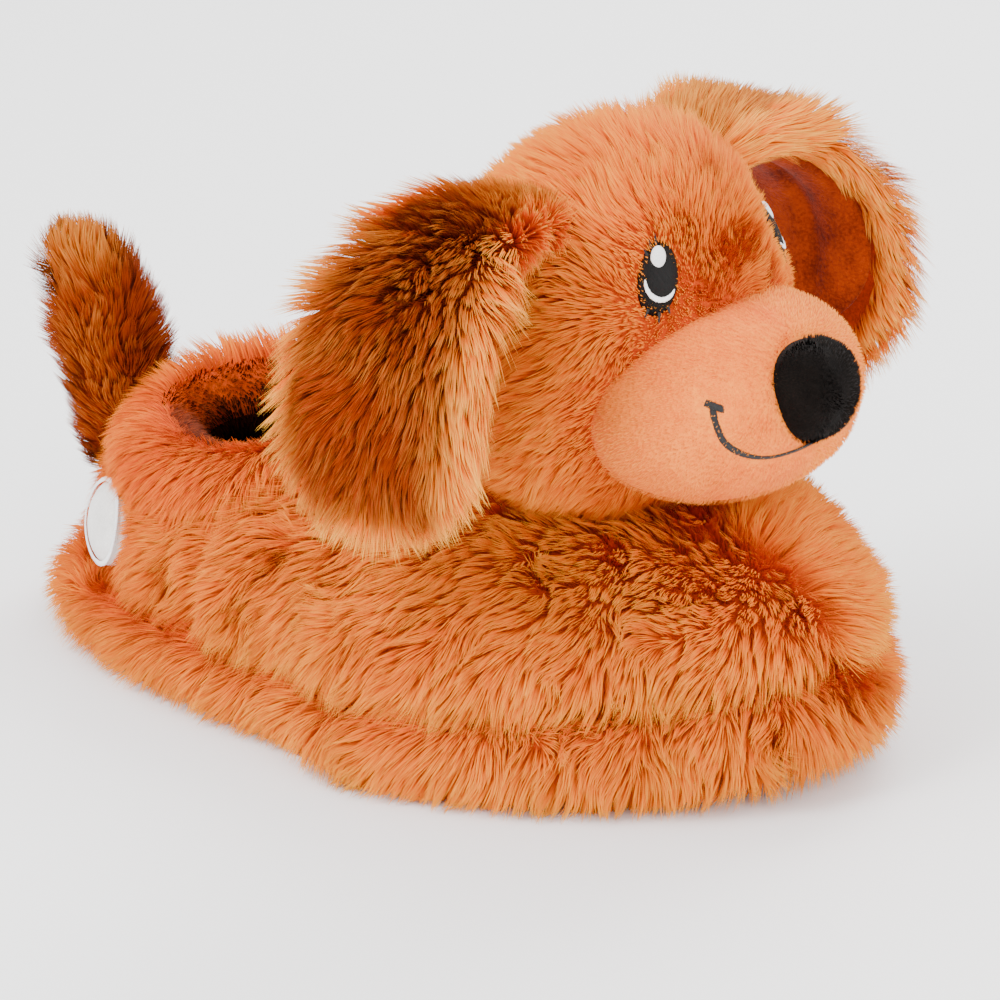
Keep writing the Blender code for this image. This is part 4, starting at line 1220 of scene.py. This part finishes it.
def oval(name, surface, centre, wide, tall, base, height, rings=10, steps=48):
    """A low dome of thread on a surface, with its own map of where each point lies."""
    bm = bmesh.new()
    layer = bm.loops.layers.uv.new("thread")
    spots = {}

    def vert(share, t, lift):
        a = centre[0] + wide / 2 * share * math.cos(t)
        b = centre[1] + tall / 2 * share * math.sin(t)
        made = bm.verts.new(surface(a, b, lift))
        spots[made] = (a * 100 + 0.5, b * 100 + 0.5)
        return made
    levels = [(1.0, base)] + [(math.cos(math.pi / 2 * k / rings) ** 0.55,
                               base + height * math.sin(math.pi / 2 * k / rings)) for k in range(rings)]
    loops = [[vert(share, 2 * math.pi * i / steps, lift) for i in range(steps)] for share, lift in levels]
    for low, high in zip(loops, loops[1:]):
        for i in range(steps):
            bm.faces.new((low[i], low[(i + 1) % steps], high[(i + 1) % steps], high[i]))
    top = vert(0.0, 0.0, base + height)
    for i in range(steps):
        bm.faces.new((loops[-1][i], loops[-1][(i + 1) % steps], top))
    bm.faces.new(loops[0][::-1])
    for face in bm.faces:
        for corner in face.loops:
            corner[layer].uv = spots[corner.vert]
    bmesh.ops.recalc_face_normals(bm, faces=bm.faces[:])
    mesh = bpy.data.meshes.new(name)
    bm.to_mesh(mesh)
    bm.free()
    mesh.shade_smooth()
    return mesh


def satin(name, low, high, rough, sideways=False):
    """Threads side by side, 0.3 mm apart, on the map that the oval brings."""
    made = bpy.data.materials.new(name)
    made.use_nodes = True
    t = Tree(made.node_tree)
    shader = made.node_tree.nodes["Principled BSDF"]
    where = t.add("ShaderNodeUVMap", {"uv_map": "thread"})
    parts = t.add("ShaderNodeSeparateXYZ", None, Vector=where.outputs[0])
    wander = t.add("ShaderNodeTexNoise", None, Vector=where.outputs[0], Scale=14.0, Detail=3.0)
    across = parts.outputs[1 if sideways else 0]
    phase = t.maths('ADD', t.maths('MULTIPLY', across, 2 * math.pi / 0.030),
                    t.maths('MULTIPLY', wander.outputs[0], 5.0))
    ridge = t.maths('ADD', t.maths('MULTIPLY', t.maths('SINE', phase), 0.5), 0.5)
    ramp = made.node_tree.nodes.new("ShaderNodeValToRGB")
    ramp.color_ramp.elements[0].color = (*low, 1.0)
    ramp.color_ramp.elements[1].color = (*high, 1.0)
    t.put(ramp.inputs[0], t.maths('MULTIPLY', ridge, wander.outputs[0]))
    t.put(shader.inputs["Base Color"], ramp.outputs[0])
    shader.inputs["Roughness"].default_value = rough
    shader.inputs["Specular IOR Level"].default_value = 0.2
    relief = t.add("ShaderNodeBump", None, Height=ridge, Strength=0.7, Distance=0.0002)
    t.put(shader.inputs["Normal"], relief.outputs[0])
    return made


BLACK_SATIN = satin("black_satin", tint(4, 3, 3), tint(16, 12, 11), 0.6)
WHITE_SATIN = satin("white_satin", tint(244, 242, 240), tint(255, 254, 252), 0.5, True)

for side, word in ((-1, "right"), (1, "left")):
    surface = eye_surface(side)
    dress("eye_oval_" + word, oval("eye", surface, (0.0, 0.0), EYE_WIDTH * 1.06, EYE_TALL, -EYE_SINK, EYE_RISE),
          BLACK_SATIN, "eye_" + word, slot="eye_" + word)
    dress("eye_glint_" + word, oval("glint", surface, (0.0014, 0.0037), 0.0042, 0.0048, dome(0.55) - 0.0002,
                                    0.0007, 5, 28), WHITE_SATIN)
    crescent = []
    for i in range(41):
        turn = math.radians(198.0 + 148.0 * i / 40)
        a, b = 0.0040 * math.cos(turn) - 0.0001, 0.0040 * math.sin(turn) - 0.0008
        share = math.hypot(a / (EYE_WIDTH / 2), b / (EYE_TALL / 2))
        up = (surface(a, b, 0.001) - surface(a, b, 0.0)).normalized()
        crescent.append((surface(a, b, dome(min(share, 0.97)) + 0.0001), up,
                         0.0003 + 0.0009 * math.sin(math.pi * i / 40) ** 0.6))
    sew("eye_crescent_" + word, path_mesh("crescent_path", crescent), WHITE_THREAD, 0.00028)
    for k, (turn, span) in enumerate(((118, 0.0020), (136, 0.0022), (152, 0.0018), (252, 0.0016),
                                      (286, 0.0018), (312, 0.0014))):
        turn = math.radians(turn if side < 0 else turn)
        lash = []
        for i in range(9):
            share = 0.92 + span / (EYE_TALL / 2) * i / 8
            a, b = -EYE_WIDTH / 2 * share * math.cos(turn), EYE_TALL / 2 * share * math.sin(turn)
            up = (surface(a, b, 0.001) - surface(a, b, 0.0)).normalized()
            lash.append((surface(a, b, 0.0012), up, 0.0007 * (1 - 0.6 * i / 8)))
        sew("lash_%s_%d" % (word, k + 1), path_mesh("lash_path", lash), BLACK_THREAD, 0.00025)

# %% [markdown]
# The ears are flaps sewn flat: fur outside and over the rim, short pile inside. The rim's fur is long,
# and its pale colour is painted light, for the light that comes through it; the middle of the outer face is a deep
# orange.

# %% Ears
EAR_ROWS = 44


def ear_frame(place, side):
    """Centre and half width of the ear's middle surface at a row between 0 and 9."""
    table = [(i, *row) for i, row in enumerate(EAR)]
    spread, drop, width, forward = (along(table, column, place) for column in range(1, 5))
    swing = LEFT_EAR_SWING * drop if side > 0 else 0.0
    lift = LEFT_EAR_LIFT * (1 - drop) if side > 0 else 0.0
    centre = Vector((EAR_X + forward * EAR_WIDTH + swing, spread * EAR_SPREAD,
                     EAR_TOP - drop * EAR_DROP + lift))
    return centre, width * EAR_WIDTH / 2


def ear_rows(side, first=0.0, last=9.0, count=EAR_ROWS):
    places = [first + (last - first) * i / count for i in range(count + 1)]
    rows = []
    for place in places:
        centre, half = ear_frame(place, side)
        chord = ear_frame(min(place + 0.5, 9.0), side)[0] - ear_frame(max(place - 0.5, 0.0), side)[0]
        normal = Vector((0.0, -chord.z, chord.y)).normalized()
        flip = Vector((1.0, side, 1.0))
        rows.append((centre * flip, half, normal * flip, place))
    return rows


def ear_skin(side):
    frames = [(centre, Vector((half, 0, 0)), normal * EAR_THICK / 2)
              for centre, half, normal, _ in ear_rows(side)]
    return mesh_from("ear_skin", sweep(frames, 48, 0.75))


def ear_pile(side):
    rows = ear_rows(side, count=90)

    def describe(point, normal):
        centre, half, outward, place = min(rows, key=lambda row: (row[0] - point).length
                                           + abs((row[0] - point).y) + abs((row[0] - point).z))
        across = abs(point.x - centre.x) / max(half, 1e-4)
        tipward = ease((place - 7.2) / 1.6)
        rim = max(ease((across - 0.55) / 0.45), tipward)
        facing = normal.dot(outward)
        away = Vector((math.copysign(across, point.x - centre.x), 0.0, 0.0))
        way = away * 0.35 + Vector((0.0, side * 0.1, -0.55 - 0.2 * tipward))
        if place < 3.2:
            way = Vector((away.x * 0.3, side * 0.6, 0.1))
        hidden = depth_in(point, HEAD_CENTRE, HEAD_SIZE) < 1.02 or (facing < -0.45 and across < 0.84
                                                                    and place < 8.4)
        reach_here = 0.0072 + 0.0036 * rim + (0.0030 * tipward if side > 0 else 0.0)
        if facing < -0.1:
            reach_here *= 0.6
        # Painted light: the rim's fur is painted pale for the light that comes through it.
        tone = 0.12 + 0.36 * ease((4.6 - place) / 3.0) + 0.85 * rim * rim
        return way, reach_here, tone, 0.0 if hidden else 1.0
    return describe


EAR_VELOUR = velour("ear_velour", tint(92, 20, 0), tint(176, 64, 8), 0.10, grain=1300.0)


def ear_lining(side):
    """Short-pile face inside the ear: crowned, with a soft fold down its length."""
    rows = ear_rows(side, 2.6, 8.5, 44)
    steps = 28
    bm = bmesh.new()
    grid = []
    for n, (centre, half, normal, place) in enumerate(rows):
        line = []
        taper = min(1.0, math.sin(math.pi * min(max((n + 1.5) / (len(rows) + 2), 0.0), 1.0)) ** 0.35)
        span = (half * 0.94 - 0.0030) * taper
        for i in range(steps + 1):
            across = -1 + 2 * i / steps
            edge = max(1 - abs(across) ** 6, 0.0)
            fold = math.exp(-((across - 0.18) / 0.16) ** 2)
            ripple = 0.0004 * math.sin(place * 2.1 + across * 2.5)
            depth = EAR_THICK / 2 - 0.0006 + (0.0016 + 0.0010 * (1 - across ** 2)) * edge
            depth += (ripple - 0.0013 * fold) * edge
            line.append(bm.verts.new(centre - normal * depth + Vector((across * span, 0, 0))))
        grid.append(line)
    for low, high in zip(grid, grid[1:]):
        for i in range(steps):
            bm.faces.new((low[i], low[i + 1], high[i + 1], high[i]))
    mesh = mesh_from("ear_lining", bm)
    middle_face = min(mesh.polygons, key=lambda face: (face.center - rows[22][0]).length)
    if middle_face.normal.dot(rows[22][2]) > 0:
        mesh.flip_normals()
    return mesh


for side, word in ((-1, "right"), (1, "left")):
    skin = ear_skin(side)
    write_pile(skin, ear_pile(side))
    grow("ear_pile_" + word, skin.copy(), DEEP_PILE, "ear_" + word, **{"Blades per Square Metre": DENSITY * 1.25})
    flap = dress("ear_flap_" + word, skin, DEEP_BACKING, "ear_" + word, slot="ear_" + word)
    lining = dress("ear_velour_" + word, ear_lining(side), EAR_VELOUR, "ear_lining_" + word,
                   slot="ear_lining_" + word)
    backing = lining.modifiers.new("wall", 'SOLIDIFY')
    backing.thickness = 0.0010
    backing.offset = -1.0

# %% [markdown]
# The tail is an upright roll of the same fur, brushed outward and up, with the longest pile of all.

# %% Tail


def tail_skin():
    table = TAIL
    frames = []
    for i in range(49):
        up = TAIL[0][0] + (1.0 - TAIL[0][0]) * i / 48
        lean, width = along(table, 1, up), along(table, 2, up)
        if up > 0.84:
            width = 0.86 * max(1 - ((up - 0.84) / 0.165) ** 2, 0.0) ** 0.5
        centre = Vector((-HALF + TAIL_IN - lean * TAIL_LEAN, 0.0, TAIL_ROOT_Z + up * TAIL_LENGTH))
        half = max(width, 0.02) * TAIL_WIDTH / 2
        frames.append((centre, Vector((half, 0, 0)), Vector((0, half, 0))))
    return mesh_from("tail_skin", sweep(frames, 40, 1.0))


def tail_pile(point, normal):
    up = (point.z - TAIL_ROOT_Z) / TAIL_LENGTH
    way = Vector((-0.15, 0.0, 0.45)) + Vector((normal.x, normal.y, 0)) * 0.2
    near_shoe = ease(1 - (up - 0.10) / 0.25)
    reach_here = 0.0070 + 0.0004 * ease(up) - 0.0018 * near_shoe
    inside = crest(max(min(point.x / HALF, 1.0), -0.999)) > point.z and point.x > -HALF
    return way, reach_here, 0.06 + 0.34 * ease((up - 0.75) / 0.25), 0.0 if inside or up < -0.18 else 1.0


skin = tail_skin()
write_pile(skin, tail_pile)
grow("tail_pile", skin.copy(), DEEP_PILE, "tail", **{"Blades per Square Metre": DENSITY * 1.2})
tail_cloth = dress("tail_cloth", skin, DEEP_BACKING, "tail", slot="tail")

# %% [markdown]
# The maker's patch on the heel stays bare here: a plain pale oval of felt with a stitched rim.

# %% Heel patch


def patch_surface(a, b, lift):
    """The quarter's right side at the heel, with a toward the toe and b upward."""
    def plain(along_shoe, upward):
        u = PATCH_PLACE + along_shoe * 0.8 / HALF
        step = 0.001
        normal = Vector((-(half_width(u + step) - half_width(u)), -step * HALF)).normalized()
        z = PATCH_HEIGHT + upward
        power = 2 / along(CREST, 2, u)
        start = lip(u) + SEAT
        share = min(max((z - start) / (crest(u) - start), 0.0), 0.98)
        across = math.cos(math.asin(share ** (1 / power))) ** power
        right = Vector((u * HALF, middle(u) - half_width(u))) - normal * (LIP_THICK + SEAT)
        plan = Vector((right.x, middle(u) + (right.y - middle(u)) * across)) + normal * swell(z, u)
        return Vector((plan.x, plan.y, z))
    return lifted(plain, a, b, lift)


FELT = velour("patch_felt", tint(214, 210, 204), tint(244, 242, 238), 0.2, grain=1700.0)
patch_rise = 0.0036
dress("patch", oval("patch", patch_surface, (0.0, 0.0), PATCH_WIDTH, PATCH_TALL, 0.0, patch_rise, 8, 64),
      FELT, "heel_patch", slot="heel_patch")
rim = []
for i in range(160):
    turn = 2 * math.pi * i / 160
    a, b = PATCH_WIDTH * 0.455 * math.cos(turn), PATCH_TALL * 0.44 * math.sin(turn)
    up = (patch_surface(a, b, 0.001) - patch_surface(a, b, 0.0)).normalized()
    rim.append((patch_surface(a, b, patch_rise * 0.86), up, 0.0013))
sew("patch_rim", path_mesh("rim_path", rim, True), WHITE_THREAD, 0.00045, 0.00045)

# %% [markdown]
# Inside, a foot pad of short fleece lies on the sole. Underneath, a thin cloth sole carries rows of
# rubber dots that grip the floor; each is a low dome pressed onto the cloth.

# %% Insole and outsole
# Painted shade: the foot pad's fleece is made darker for the shade inside the opening.
FLEECE_WITH_PAINTED_SHADE = velour("insole_fleece_with_painted_shade", tint(50, 16, 4), tint(90, 34, 12), 0.1, grain=1100.0)
SOLE_CLOTH = mottled("sole_cloth", tint(70, 42, 28), tint(104, 68, 48), 1400.0, 0.5)


def insole_skin():
    inset = LIP_THICK + 2 * SEAT + UPPER_WALL
    loops = []
    for extra, height in ((0.0, 0.0), (0.0, 0.0018), (0.0006, 0.0026), (0.0016, 0.0030),
                          (0.0032, 0.0031)):
        loops.append([Vector((p.x, p.y, FOOTBED + rise(u) + 0.0003 + height))
                      for p, u in zip(outline_loop(inset + extra), LOOP_PLACES)])
    bm = loft(loops, caps=False)
    rings = len(loops[0])
    bm.verts.ensure_lookup_table()
    for first in (0, len(loops) - 1):
        row = bm.verts[first * rings:(first + 1) * rings]
        for i in range(1, LAST):
            bm.faces.new((row[i], row[i + 1], row[rings - i - 1], row[rings - i])
                         if i + 1 < LAST else (row[i], row[i + 1], row[rings - i]))
        bm.faces.new((row[0], row[1], row[rings - 1]))
    return mesh_from("insole_skin", bm)


pad = dress("foot_pad", insole_skin(), FLEECE_WITH_PAINTED_SHADE, "insole", slot="insole")
for name in ("outsole",):
    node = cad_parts[name]
    for place in node.material_slots:
        place.material = SOLE_CLOTH

# %% [markdown]
# Under the sole, the cloth carries small rubber dots for grip. They stand in staggered rows, so one
# low dome is laid on a point for each, and the rows stop short of the edge where the sole turns up.

# %% Grip dots
DOT_WIDTH = 0.0030
DOT_HEIGHT = 0.0006
DOT_STEP = 0.0064
DOT_EDGE = 0.0150


def make_dot():
    """A low dome of unit width that hangs down."""
    bm = bmesh.new()
    rows = [[bm.verts.new((0.5 * wide * math.cos(2 * math.pi * k / 10), 0.5 * wide * math.sin(2 * math.pi * k / 10),
                           -down)) for k in range(10)] for wide, down in ((1.0, -0.4), (0.94, 0.5), (0.6, 0.9))]
    for low, high in zip(rows, rows[1:]):
        for k in range(10):
            bm.faces.new((low[k], high[k], high[(k + 1) % 10], low[(k + 1) % 10]))
    bm.faces.new(rows[0])
    bm.faces.new(rows[-1][::-1])
    bmesh.ops.recalc_face_normals(bm, faces=bm.faces[:])
    return bpy.data.objects.new("dot", mesh_from("dot", bm))


def make_dot_tree():
    group = bpy.data.node_groups.new("grip_dots", 'GeometryNodeTree')
    for name, kind, value in (("Geometry", 'NodeSocketGeometry', None), ("Dot", 'NodeSocketObject', None),
                              ("Width", 'NodeSocketFloat', DOT_WIDTH), ("Height", 'NodeSocketFloat', DOT_HEIGHT),
                              ("Finish", 'NodeSocketMaterial', None)):
        socket = group.interface.new_socket(name, in_out='INPUT', socket_type=kind)
        if value is not None:
            socket.default_value = value
    group.interface.new_socket("Geometry", in_out='OUTPUT', socket_type='NodeSocketGeometry')
    t = Tree(group)
    given = group.nodes.new("NodeGroupInput").outputs
    points = t.add("GeometryNodeMeshToPoints", None, Mesh=given["Geometry"])
    width = t.maths('MULTIPLY', given["Width"], t.chance(0.94, 1.04, 3))
    size = t.add("ShaderNodeCombineXYZ", None, X=width, Y=width, Z=given["Height"])
    source = t.add("GeometryNodeObjectInfo", {"transform_space": 'ORIGINAL'}, Object=given["Dot"])
    laid = t.add("GeometryNodeInstanceOnPoints", None, Points=points.outputs[0],
                 Instance=source.outputs["Geometry"], Scale=size.outputs[0])
    real = t.add("GeometryNodeRealizeInstances", None, Geometry=laid.outputs[0])
    done = t.add("GeometryNodeSetMaterial", None, Geometry=real.outputs[0], Material=given["Finish"])
    group.links.new(done.outputs[0], group.nodes.new("NodeGroupOutput").inputs[0])
    return group


spots = []
rows_of_dots = int(SOLE_LENGTH / DOT_STEP)
for i in range(-rows_of_dots // 2, rows_of_dots // 2 + 1):
    for j in range(-12, 13):
        x, y = i * DOT_STEP, (j + 0.5 * (i % 2)) * DOT_STEP
        u = x / HALF
        if abs(u) < 0.96 and abs(y - middle(u)) < half_width(u) - DOT_EDGE:
            spots.append((x, y, rise(u)))
dot_points = bpy.data.meshes.new("dot_points")
dot_points.from_pydata(spots, [], [])
RUBBER = mottled("grip_rubber", tint(150, 96, 62), tint(176, 118, 78), 500.0, 0.2, 0.6)
dots = through_tree("grip_dots", dot_points, make_dot_tree(), {"Dot": make_dot(), "Finish": RUBBER}, ())
dots.data.shade_smooth()
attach(dots, "root")
print(len(spots), "grip dots")

# %% [markdown]
# The script ends by printing how many triangles of pile it grew.

print("triangles of pile:", sum(len(o.data.polygons) for o in grown))
